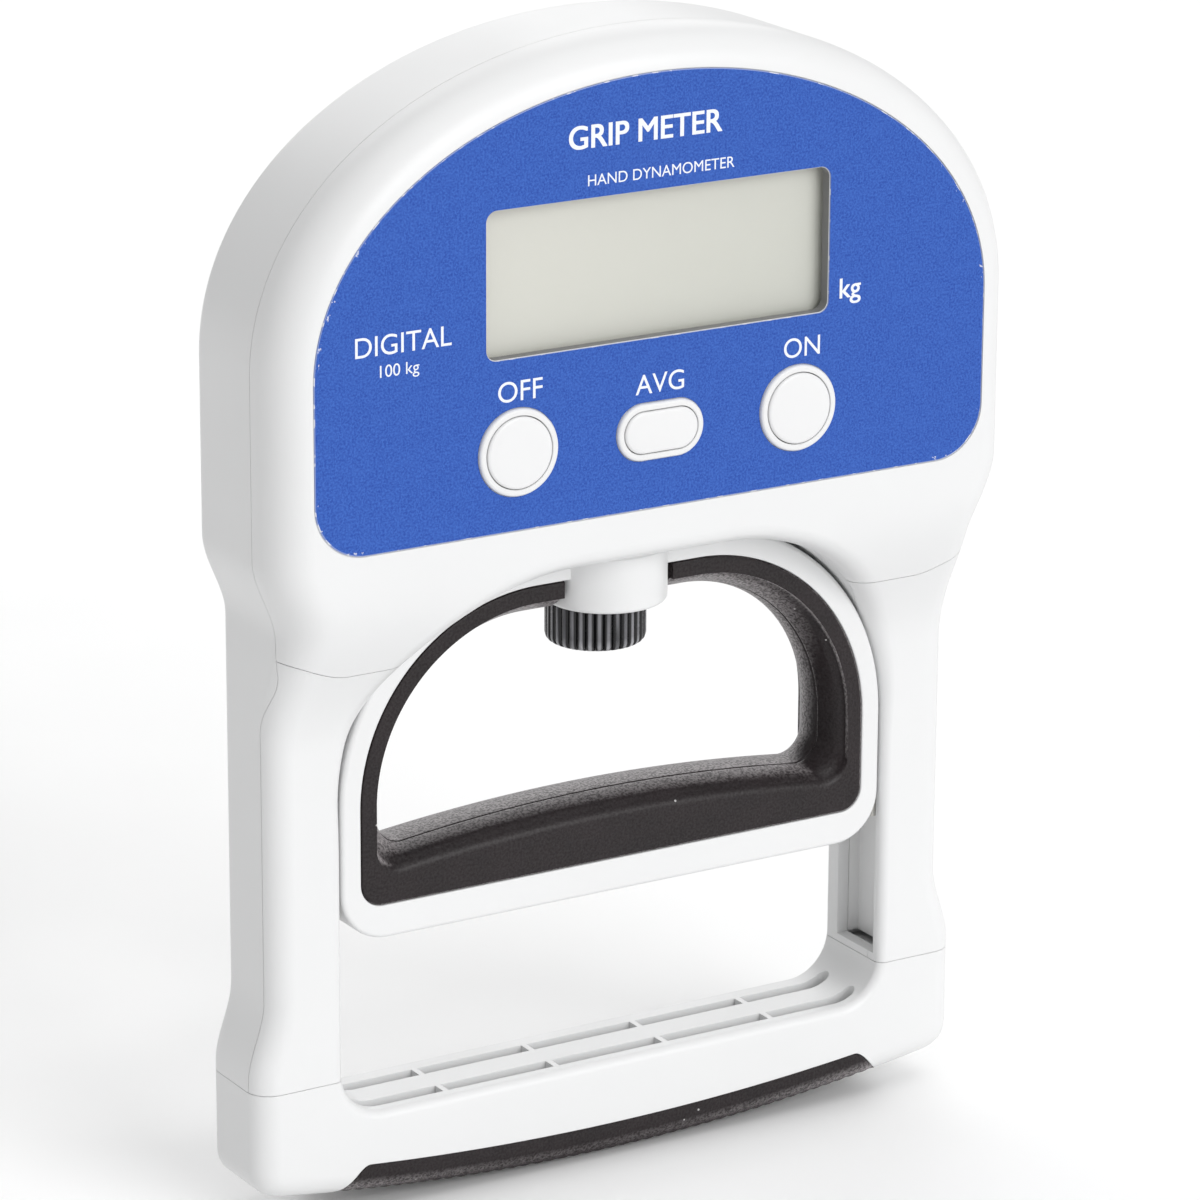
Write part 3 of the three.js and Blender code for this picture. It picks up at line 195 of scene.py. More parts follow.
def capped(name, loops):
    """A solid from a stack of loops, closed at both ends by flat faces."""
    loops = np.asarray(loops, float)
    count, around, _ = loops.shape
    faces = [tuple(f) for f in ring_faces(count, around, False)]
    faces.append(tuple(range(around)))
    faces.append(tuple(range(count * around - 1, (count - 1) * around - 1, -1)))
    obj = new_object(name, loops.reshape(-1, 3), faces)
    face_outwards(obj)
    return obj


def face_outwards(obj):
    work = bmesh.new()
    work.from_mesh(obj.data)
    bmesh.ops.recalc_face_normals(work, faces=work.faces)
    work.to_mesh(obj.data)
    work.free()


def placed(outline, depth):
    """An (x, z) outline as points at one depth, or at a depth for each point."""
    return np.column_stack([outline[:, 0], np.broadcast_to(depth, len(outline)), outline[:, 1]])


def level_at(plan, height):
    """An (x, y) plan as points at one height, or at a height for each point."""
    return np.column_stack([plan, np.broadcast_to(height, len(plan))])


def slab(name, outline, front, back):
    """An (x, z) outline swept from front to back."""
    outline = np.asarray(outline, float)
    return capped(name, [placed(outline, front), placed(outline, back)])


def column(name, outline, bottom, top):
    """An (x, y) outline swept upwards."""
    outline = np.asarray(outline, float)
    return capped(name, [level_at(outline, bottom), level_at(outline, top)])


def block(name, low, high):
    corners = [(low[0], low[1]), (high[0], low[1]), (high[0], high[1]), (low[0], high[1])]
    return column(name, corners, low[2], high[2])


def lathe(name, section, centre, axis="z", around=96):
    """A turned solid from (radius, height) points that start and end on the axis.
    Heights run up the z axis, or for axis "y" from the back towards the front."""
    section = [point for point in section if point[0] > 0]
    angles = np.linspace(0, 2 * math.pi, around, endpoint=False)
    loops = []
    for radius, height in section:
        plan = np.column_stack([centre[0] + radius * np.cos(angles), centre[1] + radius * np.sin(angles)])
        loops.append(level_at(plan, height) if axis == "z" else placed(plan, -height))
    return capped(name, loops)


def combine(base, operation, *tools):
    """Cuts or joins solids and drops the tools."""
    for tool in tools:
        modifier = base.modifiers.new("combine", "BOOLEAN")
        modifier.operation = operation
        modifier.solver = "MANIFOLD"
        modifier.object = tool
        evaluated = base.evaluated_get(bpy.context.evaluated_depsgraph_get())
        mesh = bpy.data.meshes.new_from_object(evaluated)
        base.modifiers.clear()
        base.data = mesh
        bpy.data.objects.remove(tool)
    return base


def cut(base, *tools):
    return combine(base, "DIFFERENCE", *tools)


def join(base, *tools):
    return combine(base, "UNION", *tools)


def keep_inside(base, *tools):
    return combine(base, "INTERSECT", *tools)


def copy_of(obj, name):
    return in_scene(name, obj.data.copy())


def mirrored(obj, name):
    twin = copy_of(obj, name)
    twin.data.transform(Matrix.Diagonal((-1, 1, 1, 1)))
    twin.data.flip_normals()
    return twin


def smooth(obj, sharp_degrees=32):
    mesh = obj.data
    mesh.polygons.foreach_set("use_smooth", np.ones(len(mesh.polygons), bool))
    mesh.set_sharp_from_angle(angle=math.radians(sharp_degrees))
    modifier = obj.modifiers.new("weighted normals", "WEIGHTED_NORMAL")
    modifier.keep_sharp = True
    modifier.weight = 60
    return obj


def finish_piece(obj, name, body, look, node, sharp=32):
    """Names a piece, gives it its looks and rides it on its body in place of its CAD node.
    The look is named after the record's material slot."""
    obj.name = name
    obj.data.name = name
    obj.data.materials.clear()
    obj.data.materials.append(MATERIALS[look])
    smooth(obj, sharp)
    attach(obj, body)
    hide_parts(node)


# ---- Outlines ----


def quarter_round(radius, count):
    """(inset, depth) pairs round an edge, from its side (inset 0) to its face (depth 0)."""
    angles = np.linspace(0, math.pi / 2, count)
    return [(radius * (1 - math.cos(angle)), radius * (1 - math.sin(angle))) for angle in angles]


def ease(value, start, end):
    t = np.clip((value - start) / (end - start), 0, 1)
    return t * t * (3 - 2 * t)


def blend(a, b, t):
    return a + (b - a) * t


def arc(centre, radius, start, end, count):
    """Points on an arc, angles in degrees, both ends included."""
    angles = np.radians(np.linspace(start, end, count))
    return np.column_stack([centre[0] + radius * np.cos(angles), centre[1] + radius * np.sin(angles)])


def circle(centre, radius, count=96):
    return arc(centre, radius, 0, 360 - 360 / count, count)


def line(start, end, count):
    """Points from start towards end, without the ends."""
    t = (np.arange(count) + 1)[:, None] / (count + 1)
    return blend(np.asarray(start, float), np.asarray(end, float), t)


def evenly(points, count):
    """The same open line with count points spaced evenly along it."""
    steps = np.hypot(*np.diff(points, axis=0).T)
    along = np.concatenate([[0], np.cumsum(steps)])
    wanted = np.linspace(0, along[-1], count)
    return np.column_stack([np.interp(wanted, along, points[:, axis]) for axis in (0, 1)])


def body_half_width(z):
    neck = ease(z, *NECK) * (LEG_HALF - HEAD_HALF)
    ankle = ease(z, *ANKLE) * (FOOT_HALF - LEG_HALF)
    return HEAD_HALF + neck + ankle


def foot_bottom(x):
    return FOOT_BOTTOM_Z + x * x / (2 * FOOT_BOTTOM_RADIUS)


def outer_outline(spacing):
    """The body's outline seen from the front, clockwise from the top of the dome."""
    angle = np.linspace(math.pi / 2, 0, 600)
    power = 2 / DOME_POWER
    dome_x = HEAD_HALF * np.abs(np.cos(angle)) ** power
    dome_x[0] = 0
    dome = np.column_stack([dome_x, DOME_Z + DOME_HEIGHT * np.sin(angle).clip(0) ** power])
    heights = np.linspace(DOME_Z, FOOT_CORNER[1], 900)
    side = np.column_stack([body_half_width(heights), heights])
    corner_x, corner_z = FOOT_CORNER
    slope = corner_x / FOOT_BOTTOM_RADIUS
    tip = np.array([FOOT_HALF, foot_bottom(corner_x) + slope * (FOOT_HALF - corner_x)])
    t = np.linspace(0, 1, 60)[:, None]
    start, end = np.array([FOOT_HALF, corner_z]), np.array([corner_x, foot_bottom(corner_x)])
    corner = start * (1 - t) ** 2 + tip * 2 * t * (1 - t) + end * t ** 2
    across = np.linspace(corner_x, 0, 300)
    bottom = np.column_stack([across, foot_bottom(across)])
    right = np.vstack([dome, side[1:], corner[1:], bottom[1:]])
    length = np.hypot(*np.diff(right, axis=0).T).sum()
    right = evenly(right, int(length / spacing))
    left = right[1:-1][::-1] * [-1, 1]
    return np.vstack([right, left])


def inside_opening(x, z, grow):
    half, top, bottom = OPENING["half"], OPENING["top"], OPENING["bottom"]
    side = np.abs(x)
    within = (side < half + grow) & (z < top + grow) & (z > bottom - grow)
    for radius, level, above in (
        (OPENING["top_radius"], top - OPENING["top_radius"], True),
        (OPENING["bottom_radius"], bottom + OPENING["bottom_radius"], False),
    ):
        beyond = z > level if above else z < level
        in_corner = beyond & (side > half - radius)
        round_enough = np.hypot(side - (half - radius), z - level) < radius + grow
        within &= ~in_corner | round_enough
    return within


def opening_edge(outline, grow):
    """The point of the opening's edge on the line from its middle to each point of an outline."""
    offset = outline - [0, OPENING_MIDDLE_Z]
    near, far = np.zeros(len(outline)), np.ones(len(outline))
    for _ in range(40):
        t = (near + far) / 2
        inside = inside_opening(offset[:, 0] * t, OPENING_MIDDLE_Z + offset[:, 1] * t, grow)
        near = np.where(inside, t, near)
        far = np.where(inside, far, t)
    return offset * near[:, None] + [0, OPENING_MIDDLE_Z]


def inwards(outline):
    """Unit normals of a clockwise closed outline, pointing to its inside."""
    along = np.roll(outline, -1, axis=0) - np.roll(outline, 1, axis=0)
    along /= np.hypot(*along.T)[:, None]
    return np.column_stack([along[:, 1], -along[:, 0]])


def shifted(outline, amount):
    return outline + inwards(outline) * np.reshape(amount, (-1, 1))


def front_y(z):
    return blend(HEAD_FRONT, LEG_FRONT, ease(z, *SWEEP))


def fillet(z, axis):
    return blend(HEAD_FILLET[axis], LEG_FILLET[axis], ease(z, *SWEEP))


def rounded_box(left, right, bottom, top, radius, per_corner=10):
    """Anticlockwise rounded rectangle."""
    return np.vstack([
        arc((right - radius, bottom + radius), radius, -90, 0, per_corner),
        arc((right - radius, top - radius), radius, 0, 90, per_corner),
        arc((left + radius, top - radius), radius, 90, 180, per_corner),
        arc((left + radius, bottom + radius), radius, 180, 270, per_corner),
    ])


def stadium(half_length, half_height, middle=0.0, per_end=32):
    straight = half_length - half_height
    return np.vstack([
        arc((straight, middle), half_height, -90, 90, per_end),
        arc((-straight, middle), half_height, 90, 270, per_end),
    ])


def arch(half, top, top_radius, bottom, bottom_radius, crown=0.0, fine=1):
    """A D on its flat side, clockwise seen from the front, with matching points for every size."""
    low_x, low_z = half - bottom_radius, bottom + bottom_radius
    top_x, top_z = half - top_radius, top - top_radius
    bottom_line = line((low_x, bottom), (-low_x, bottom), 40 * fine)
    if crown:
        share = bottom_line[:, 0] / low_x
        bottom_line[:, 1] += crown * (1 - share ** 2)
    return np.vstack([
        arc((-top_x, top_z), top_radius, 180, 90, 36 * fine),
        line((-top_x, top), (top_x, top), 8 * fine),
        arc((top_x, top_z), top_radius, 90, 0, 36 * fine),
        line((half, top_z), (half, low_z), 10 * fine),
        arc((low_x, low_z), bottom_radius, 0, -90, 12 * fine),
        bottom_line,
        arc((-low_x, low_z), bottom_radius, -90, -180, 12 * fine),
        line((-half, low_z), (-half, top_z), 10 * fine),
    ])


def label_outline(grow):
    half = LABEL_HIGH.x + grow
    low = LABEL_LOW.z - grow
    t = np.radians(np.linspace(0, 180, 120))
    dome = np.column_stack([half * np.cos(t), DOME_Z + (LABEL_DOME_HEIGHT + grow) * np.sin(t)])
    return np.vstack([
        dome,
        arc((-half + LABEL_CORNER, low + LABEL_CORNER), LABEL_CORNER, 180, 270, 24),
        arc((half - LABEL_CORNER, low + LABEL_CORNER), LABEL_CORNER, -90, 0, 24),
    ])


def window_outline(grow):
    return rounded_box(
        -WINDOW["half"] - grow, WINDOW["half"] + grow,
        WINDOW["bottom"] - grow, WINDOW["top"] + grow, WINDOW["radius"] + grow,
    )


# ---- Materials ----


class Look:
    """A Principled material and short calls to wire nodes into it."""

    def __init__(self, name, color, roughness, metallic=0.0):
        self.material = bpy.data.materials.new(name)
        self.material.use_nodes = True
        self.tree = self.material.node_tree
        self.shader = self.tree.nodes["Principled BSDF"]
        self.shader.inputs["Base Color"].default_value = (*color, 1)
        self.shader.inputs["Roughness"].default_value = roughness
        self.shader.inputs["Metallic"].default_value = metallic
        self.coords = self.tree.nodes.new("ShaderNodeTexCoord").outputs["Object"]
        self.normal = None

    def feed(self, socket, value):
        """Links a socket to another node's output, or gives it a plain value."""
        if isinstance(value, bpy.types.NodeSocket):
            self.tree.links.new(value, socket)
        else:
            socket.default_value = value

    def node(self, kind, settings=(), **inputs):
        node = self.tree.nodes.new(kind)
        for key, value in dict(settings).items():
            setattr(node, key, value)
        for key, value in inputs.items():
            self.feed(node.inputs[key.replace("_", " ")], value)
        return node

    def set(self, **inputs):
        for key, value in inputs.items():
            self.feed(self.shader.inputs[key.replace("_", " ")], value)

    def place(self):
        """The object's x, y and z coordinates as sockets."""
        return self.node("ShaderNodeSeparateXYZ", Vector=self.coords).outputs

    def facing(self):
        """0 where the surface faces the camera, 1 where it is seen edge-on."""
        return self.node("ShaderNodeLayerWeight", Blend=0.5).outputs["Facing"]

    def noise(self, size, detail=2.0, rough=0.5, vector=None):
        """Noise from 0 to 1 whose features are about size millimetres wide."""
        return self.node(
            "ShaderNodeTexNoise", Vector=vector or self.coords, Scale=1 / (size * MM), Detail=detail,
            Roughness=rough,
        ).outputs["Fac"]

    def cells(self, size, distance="EUCLIDEAN"):
        """Distance from the middle of each of a crowd of cells about size millimetres wide."""
        return self.node(
            "ShaderNodeTexVoronoi", {"distance": distance}, Vector=self.coords, Scale=1 / (size * MM),
        ).outputs["Distance"]

    def stretched(self, along_z):
        """Coordinates whose noise runs in upright streaks."""
        mapping = self.node("ShaderNodeMapping", Vector=self.coords)
        mapping.inputs["Scale"].default_value = (1, 1, along_z)
        return mapping.outputs["Vector"]

    def uneven_gloss(self, size, detail, low, high):
        """Roughness that drifts between two values."""
        self.set(Roughness=self.remap(self.noise(size, detail), 0.3, 0.7, low, high))

    def remap(self, value, low, high, to_low, to_high):
        names = ("From Min", "From Max", "To Min", "To Max")
        node = self.node("ShaderNodeMapRange", Value=value)
        for name, number in zip(names, (low, high, to_low, to_high)):
            node.inputs[name].default_value = number
        return node.outputs["Result"]

    def math(self, operation, first, second):
        """The result of a maths node on sockets or numbers."""
        node = self.node("ShaderNodeMath", {"operation": operation})
        for socket, value in zip(node.inputs, (first, second)):
            self.feed(socket, value)
        return node.outputs["Value"]

    def mix(self, factor, first, second):
        """A colour between two colours, from sockets or (r, g, b) tuples."""
        node = self.node("ShaderNodeMix", {"data_type": "RGBA"})
        for index, value in ((0, factor), (6, first), (7, second)):
            self.feed(node.inputs[index], (*value, 1) if isinstance(value, tuple) else value)
        return node.outputs[2]

    def soft_edges(self, radius):
        self.normal = self.node("ShaderNodeBevel", {"samples": 4}, Radius=radius * MM).outputs["Normal"]
        self.set(Normal=self.normal)

    def bump(self, height, depth):
        node = self.node("ShaderNodeBump", Height=height, Strength=1.0, Distance=depth * MM)
        if self.normal:
            self.tree.links.new(self.normal, node.inputs["Normal"])
        self.normal = node.outputs["Normal"]
        self.set(Normal=self.normal)


def plastic(name, color, roughness, edge=0.25, grain=0.35, depth=0.006):
    """Moulded plastic: a faint moulded grain, slow changes of sheen and softened edges."""
    look = Look(name, color, roughness)
    if edge:
        look.soft_edges(edge)
    look.uneven_gloss(18, 3, roughness - 0.04, roughness + 0.05)
    darker = tuple(channel * 0.97 for channel in color)
    look.set(Base_Color=look.mix(look.noise(30, 2), darker, color))
    look.bump(look.noise(grain, 2), depth)
    look.set(IOR=1.5)
    return look.material


def black_plastic():
    look = Look("black_plastic", (0.016, 0.016, 0.018), 0.22)
    look.soft_edges(0.08)
    # Painted highlight and shade: convex edges and crests are coloured lighter, as if catching the light,
    # and hollows darker, as painted shade.
    crests = look.remap(look.node("ShaderNodeNewGeometry").outputs["Pointiness"], 0.47, 0.56, 0, 1)
    look.set(Base_Color=look.mix(crests, (0.005, 0.005, 0.006), (0.05, 0.049, 0.052)))
    look.uneven_gloss(3, 3, 0.15, 0.26)
    look.bump(look.noise(0.4, 3), 0.006)
    look.set(Coat_Weight=0.35, Coat_Roughness=0.12)
    return look.material


def knob_plastic():
    """Glossy black plastic with painted highlights: lighter along the crests of the ribs in uneven upright
    streaks, and lighter still at the lower ends of the crests, as a painted reflection.
    """
    look = Look("knob_plastic", (0.01, 0.01, 0.011), 0.2)
    place = look.place()
    from_axis = look.math("SUBTRACT", place["Y"], AXIS_Y * MM)
    turn = look.math("ARCTAN2", from_axis, place["X"])
    phase = look.math("FRACT", look.math("MULTIPLY", turn, KNOB_RIBS / (2 * math.pi)), 0)
    off_crest = look.math("PINGPONG", phase, 0.5)
    # Painted highlights: the crests of the ribs are coloured lighter, as if lit, in uneven upright streaks;
    # the rest of each rib stays near black.
    crest = look.remap(off_crest, 0.1, 0.27, 1, 0)
    streak = look.remap(look.noise(3.6, 1, vector=look.stretched(0.2)), 0.36, 0.6, 0.2, 1)
    pale_marks = look.math("MULTIPLY", crest, streak)
    body = look.mix(pale_marks, (0.003, 0.003, 0.004), (0.215, 0.213, 0.23))
    # Painted reflection: the lower ends of the lit crests are coloured lighter still, as if reflecting the
    # pale floor.
    rim = look.remap(place["Z"], (KNOB_LOW.z + 0.6) * MM, (KNOB_LOW.z + 2.4) * MM, 1, 0)
    look.set(Base_Color=look.mix(look.math("MULTIPLY", rim, pale_marks), body, (0.42, 0.42, 0.44)))
    look.uneven_gloss(1.5, 3, 0.16, 0.3)
    look.bump(look.noise(0.35, 3), 0.008)
    look.set(Specular_IOR_Level=0.4)
    return look.material


def rubber():
    """Matt black rubber with a leathery grain, random patches of tone, a painted sheen where it is seen at a
    slant, speckled by the grain and kept out of hollows by painted shade, and a few specks of lint."""
    look = Look("black_rubber", (0.01, 0.009, 0.0092), 0.42)
    grain = look.noise(0.5, 2, 0.6)
    bloom = look.remap(look.noise(9, 4), 0.35, 0.7, 0.0, 1.0)
    base = look.mix(bloom, (0.0105, 0.007, 0.0078), (0.0155, 0.0103, 0.0115))
    # Painted shade: ambient occlusion keeps the painted sheen and the reflectivity low in hollows and
    # valleys.
    hidden = look.node("ShaderNodeAmbientOcclusion", {"samples": 6}, Distance=7 * MM).outputs["AO"]
    in_the_open = look.remap(hidden, 0.34, 0.84, 0.12, 1.0)
    # Painted sheen: the colour is lightened towards grey where the surface is seen at a slant, more on the
    # peaks of the grain.
    glancing = look.math("MULTIPLY", look.remap(look.facing(), 0.28, 0.66, 0.0, 1.0), in_the_open)
    glints = look.math("MULTIPLY", glancing, look.remap(grain, 0.38, 0.6, 0.15, 1.0))
    base = look.mix(glints, base, (0.34, 0.315, 0.32))
    lint = look.remap(look.cells(5.5), 0.045, 0.035, 0.0, 1.0)
    look.set(Base_Color=look.mix(lint, base, (0.45, 0.44, 0.44)))
    look.set(Roughness=look.remap(grain, 0.3, 0.7, 0.34, 0.5))
    sheen = look.math("MULTIPLY", look.remap(grain, 0.36, 0.64, 0.25, 0.42), in_the_open)
    look.set(Specular_IOR_Level=sheen)
    look.bump(look.cells(0.6), 0.03)
    look.bump(grain, 0.05)
    return look.material


def label_blue(name, pale_marks=False):
    """Blue print under a finely textured clear film, chipped here and there by wear."""
    look = Look(name, (0.05, 0.13, 0.5), 0.4)
    speckle = look.noise(0.42, 4, 0.7)
    broad = look.noise(2.2, 2)
    base = look.mix(look.remap(speckle, 0.38, 0.62, 0, 1), (0.009, 0.055, 0.33), (0.038, 0.125, 0.49))
    base = look.mix(look.remap(broad, 0.4, 0.75, 0, 0.25), base, (0.04, 0.13, 0.5))
    if pale_marks:
        chips = look.remap(look.noise(1.4, 4, 0.65), 0.6, 0.615, 0, 0.85)
        base = look.mix(chips, base, (0.62, 0.64, 0.74))
    look.set(Base_Color=base)
    look.set(Roughness=look.remap(speckle, 0.3, 0.7, 0.34, 0.5))
    look.bump(speckle, 0.035)
    look.set(Specular_IOR_Level=0.28)
    return look.material


def label_edge():
    """The cut edge of the film, pale and here and there chipped."""
    look = Look("label_edge", (0.4, 0.5, 0.8), 0.45)
    chips = look.remap(look.noise(2.4, 3), 0.56, 0.6, 0, 1)
    look.set(Base_Color=look.mix(chips, (0.24, 0.31, 0.6), (0.7, 0.72, 0.8)))
    look.bump(look.noise(0.5, 2), 0.05)
    return look.material


def white_ink():
    look = Look("white_ink", (0.82, 0.84, 0.87), 0.45)
    look.set(Base_Color=look.mix(look.noise(0.35, 3), (0.7, 0.73, 0.8), (0.88, 0.9, 0.92)))
    look.bump(look.noise(0.5, 4, 0.7), 0.02)
    return look.material


def display_glass():
    """The blank liquid-crystal cell: a grey-green reflector with a faint sheen, and painted shading that
    darkens it towards the bottom right.
    """
    look = Look("display_glass", (0.62, 0.64, 0.58), 0.35)
    place = look.place()
    # Painted shading: the cell is coloured lighter at the top left and darker towards the right and the
    # bottom.
    across = look.remap(place["X"], GLASS_LOW.x * MM, GLASS_HIGH.x * MM, 0, 0.6)
    down = look.remap(place["Z"], GLASS_HIGH.z * MM, GLASS_LOW.z * MM, 0, 0.4)
    shade = look.math("ADD", across, down)
    look.set(Base_Color=look.mix(shade, (0.70, 0.695, 0.645), (0.565, 0.575, 0.53)))
    look.uneven_gloss(25, 2, 0.3, 0.4)
    look.set(Coat_Weight=0.4, Coat_Roughness=0.08)
    return look.material


def clear_pane():
    """A clear window: see-through, with a soft reflection at its surface."""
    look = Look("clear_pane", (1, 1, 1), 0.08)
    smudge = look.remap(look.noise(14, 4), 0.4, 0.7, 0.04, 0.16)
    look.set(Roughness=smudge, IOR=1.49)
    glancing = look.math("POWER", look.facing(), 4)
    outside = look.remap(look.node("ShaderNodeNewGeometry").outputs["Backfacing"], 0, 1, 1, 0)
    fresnel = look.math("MULTIPLY", look.remap(glancing, 0, 1, 0.045, 0.8), outside)
    clear = look.node("ShaderNodeBsdfTransparent", Color=(0.98, 0.98, 0.975, 1)).outputs["BSDF"]
    gloss = look.node("ShaderNodeBsdfGlossy", Roughness=smudge).outputs["BSDF"]
    mixed = look.node("ShaderNodeMixShader", Fac=fresnel)
    look.feed(mixed.inputs[1], clear)
    look.feed(mixed.inputs[2], gloss)
    look.feed(look.tree.nodes["Material Output"].inputs["Surface"], mixed.outputs["Shader"])
    return look.material


def metal(name, color, roughness, brushed=0.0):
    """Bare metal with fine streaks along z where it is brushed, and handling marks."""
    look = Look(name, color, roughness, 1.0)
    look.soft_edges(0.1)
    streaks = look.noise(0.3, 4, 0.6, look.stretched(1 - brushed))
    look.set(Roughness=look.remap(streaks, 0.3, 0.7, roughness - 0.07, roughness + 0.1))
    darker = tuple(channel * 0.8 for channel in color)
    look.set(Base_Color=look.mix(look.noise(4, 4), darker, color))
    look.bump(streaks, 0.006)
    return look.material


def circuit_board():
    look = Look("circuit_board", (0.02, 0.11, 0.05), 0.35)
    tracks = look.remap(look.cells(2.4, "CHEBYCHEV"), 0.42, 0.46, 0, 1)
    look.set(Base_Color=look.mix(tracks, (0.015, 0.09, 0.045), (0.035, 0.2, 0.09)))
    look.bump(tracks, 0.02)
    look.set(Coat_Weight=0.4, Coat_Roughness=0.2)
    return look.material


def cell_wrap():
    """The printed sleeve of a dry cell: dark with a copper-coloured end band."""
    look = Look("cell_wrap", (0.03, 0.035, 0.045), 0.3, 0.4)
    band_start, band_end = 8.5 * MM, 8.8 * MM
    band = look.remap(look.place()["X"], band_start, band_end, 0, 1)
    look.set(Base_Color=look.mix(band, (0.03, 0.035, 0.045), (0.55, 0.27, 0.12)))
    look.uneven_gloss(2, 3, 0.24, 0.36)
    look.bump(look.noise(1.2, 2), 0.01)
    return look.material


MATERIALS = dict(
    white_shell=plastic("white_shell", (0.765, 0.768, 0.77), 0.36),
    white_cap=plastic("white_cap", (0.77, 0.772, 0.775), 0.3, edge=0.12, grain=0.8, depth=0.003),
    rail=plastic("rail_plastic", (0.8, 0.802, 0.802), 0.42, edge=0.15),
    acetal=plastic("acetal", (0.74, 0.73, 0.69), 0.38, edge=0.15),
    # A dark grey painted as shade on the inner walls of the display window.
    painted_window_shade=plastic("painted_window_shade", (0.2, 0.2, 0.2), 0.5, edge=0),
    wire=plastic("red_wire", (0.42, 0.03, 0.02), 0.4, edge=0, grain=0.5),
    black_plastic=black_plastic(),
    knob=knob_plastic(),
    black_rubber=rubber(),
    blue_label=label_blue("label_blue"),
    label_worn=label_blue("label_worn", pale_marks=True),
    label_edge=label_edge(),
    ink=white_ink(),
    display=display_glass(),
    clear_window=clear_pane(),
    steel=metal("steel", (0.56, 0.57, 0.58), 0.32, brushed=0.9),
    spring_steel=metal("spring_steel", (0.36, 0.37, 0.38), 0.3),
    brass=metal("brass", (0.72, 0.5, 0.2), 0.28),
    nickel=metal("nickel", (0.66, 0.64, 0.6), 0.22),
    board=circuit_board(),
    cell_wrap=cell_wrap(),
)

# ---- Body shells ----


def body_outside(name, spacing, foot_ribs=0.0):
    """The outside of the whole body as one ring. foot_ribs is the depth of fine ribs on its underside."""
    outer = outer_outline(spacing)
    inner = opening_edge(outer, 0)
    z = outer[:, 1]
    across, deep = fillet(z, 0), fillet(z, 1)
    under = ease(z, *PAD_RIB_RISE) * (np.abs(outer[:, 0]) < PAD["tip"])
    ripple = foot_ribs * under * (0.5 - 0.5 * np.cos(2 * math.pi * outer[:, 0] / PAD_RIB_PITCH))
    loops = []
    unit_round = quarter_round(1, 12)
    for inset, depth in unit_round:
        edge = shifted(outer, across * inset + ripple * (1 - inset) ** 2)
        loops.append(placed(edge, front_y(edge[:, 1]) + deep * depth))
    outer_edge = shifted(outer, across)
    soft = blend(*OPENING_FILLET, ease(inner[:, 1], *OPENING_FILLET_CHANGE))
    inner_edge = shifted(inner, -soft)
    for t in np.linspace(0, 1, 9)[1:-1]:
        between = blend(outer_edge, inner_edge, t)
        loops.append(placed(between, front_y(between[:, 1])))
    for inset, depth in unit_round[::-1][::2]:
        edge = shifted(inner, -soft * inset)
        loops.append(placed(edge, front_y(edge[:, 1]) + soft * depth))
    for grow, y in ((0.0, -1.0), (0.3, -0.3), (1.0, 0.0)):
        loops.append(placed(shifted(inner, -grow), y))
    for inset, depth in quarter_round(1, 7)[::-1]:
        edge = shifted(outer, BACK_FILLET * inset + ripple * (1 - inset) ** 2)
        loops.append(placed(edge, -BACK_FILLET * depth))
    return ring(name, loops)


def body_hollow(name):
    outer = outer_outline(3.0)
    inner = opening_edge(outer, WALL)

    def inset(amount, depth):
        edge = shifted(outer, amount)
        return placed(edge, front_y(edge[:, 1]) + depth)

    def behind(amount, y):
        return placed(shifted(outer, amount), y)

    return ring(name, [
        inset(WALL, HEAD_FILLET[1]),
        inset(WALL + 1, 2 * WALL),
        inset(WALL + 4, WALL),
        placed(inner, front_y(inner[:, 1]) + WALL),
        placed(inner, -WALL),
        behind(WALL + 1, -WALL),
        behind(WALL, -WALL - 1),
    ])


def above(z):
    return block("above", (-BEYOND, -BEYOND, z), (BEYOND, BEYOND, BEYOND))


def below(z):
    return block("below", (-BEYOND, -BEYOND, -2 * BEYOND), (BEYOND, BEYOND, z))


def behind_parting(gap):
    """Everything behind the parting surface between the front covers and the rear housing."""
    top, bottom = PARTING_STEP
    z = np.linspace(top, bottom, 24)
    step = np.column_stack([blend(HEAD_PARTING_Y, LEG_PARTING_Y, ease(z, top, bottom)) + gap, z])
    outline = np.vstack([
        [[BEYOND, BEYOND]], [[HEAD_PARTING_Y + gap, BEYOND]], step,
        [[LEG_PARTING_Y + gap, -2 * BEYOND]], [[BEYOND, -2 * BEYOND]],
    ])
    sides = [np.column_stack([np.full(len(outline), x), outline]) for x in (-BEYOND, BEYOND)]
    return capped("behind_parting", sides)


def above_collar_seam(gap):
    """Everything above the front cover's lower edge, level in the middle and rising at the sides."""
    start, end = COLLAR_SEAM["rise_from"], COLLAR_SEAM["rise_to"]
    x = np.linspace(start, end, 16)
    rise = np.column_stack([x, COLLAR_SEAM["z"] + gap + COLLAR_SEAM["rise"] * ease(x, start, end)])
    high = rise[-1, 1]
    outline = np.vstack([
        rise, [[BEYOND, high]], [[BEYOND, BEYOND]], [[-BEYOND, BEYOND]], [[-BEYOND, high]],
        rise[::-1] * [-1, 1],
    ])
    return slab("above_collar_seam", outline, -BEYOND, BEYOND)


def groove_cutters():
    low_y, high_y = GROOVE["front"], GROOVE["back"]
    floor, bottom, top = GROOVE["floor"], GROOVE["bottom"], GROOVE["top"]
    clear = OPENING["half"] - 8
    return [
        block("groove", (clear, low_y, bottom), (floor, high_y, top)),
        block("groove", (-floor, low_y, bottom), (-clear, high_y, top)),
    ]


def button_outline(x, size, inset):
    """The outline of a round button, or of a long one, which has two half sizes."""
    if isinstance(size, tuple):
        return stadium(size[0] - inset, size[1] - inset)
    return circle((x, 0), size - inset)


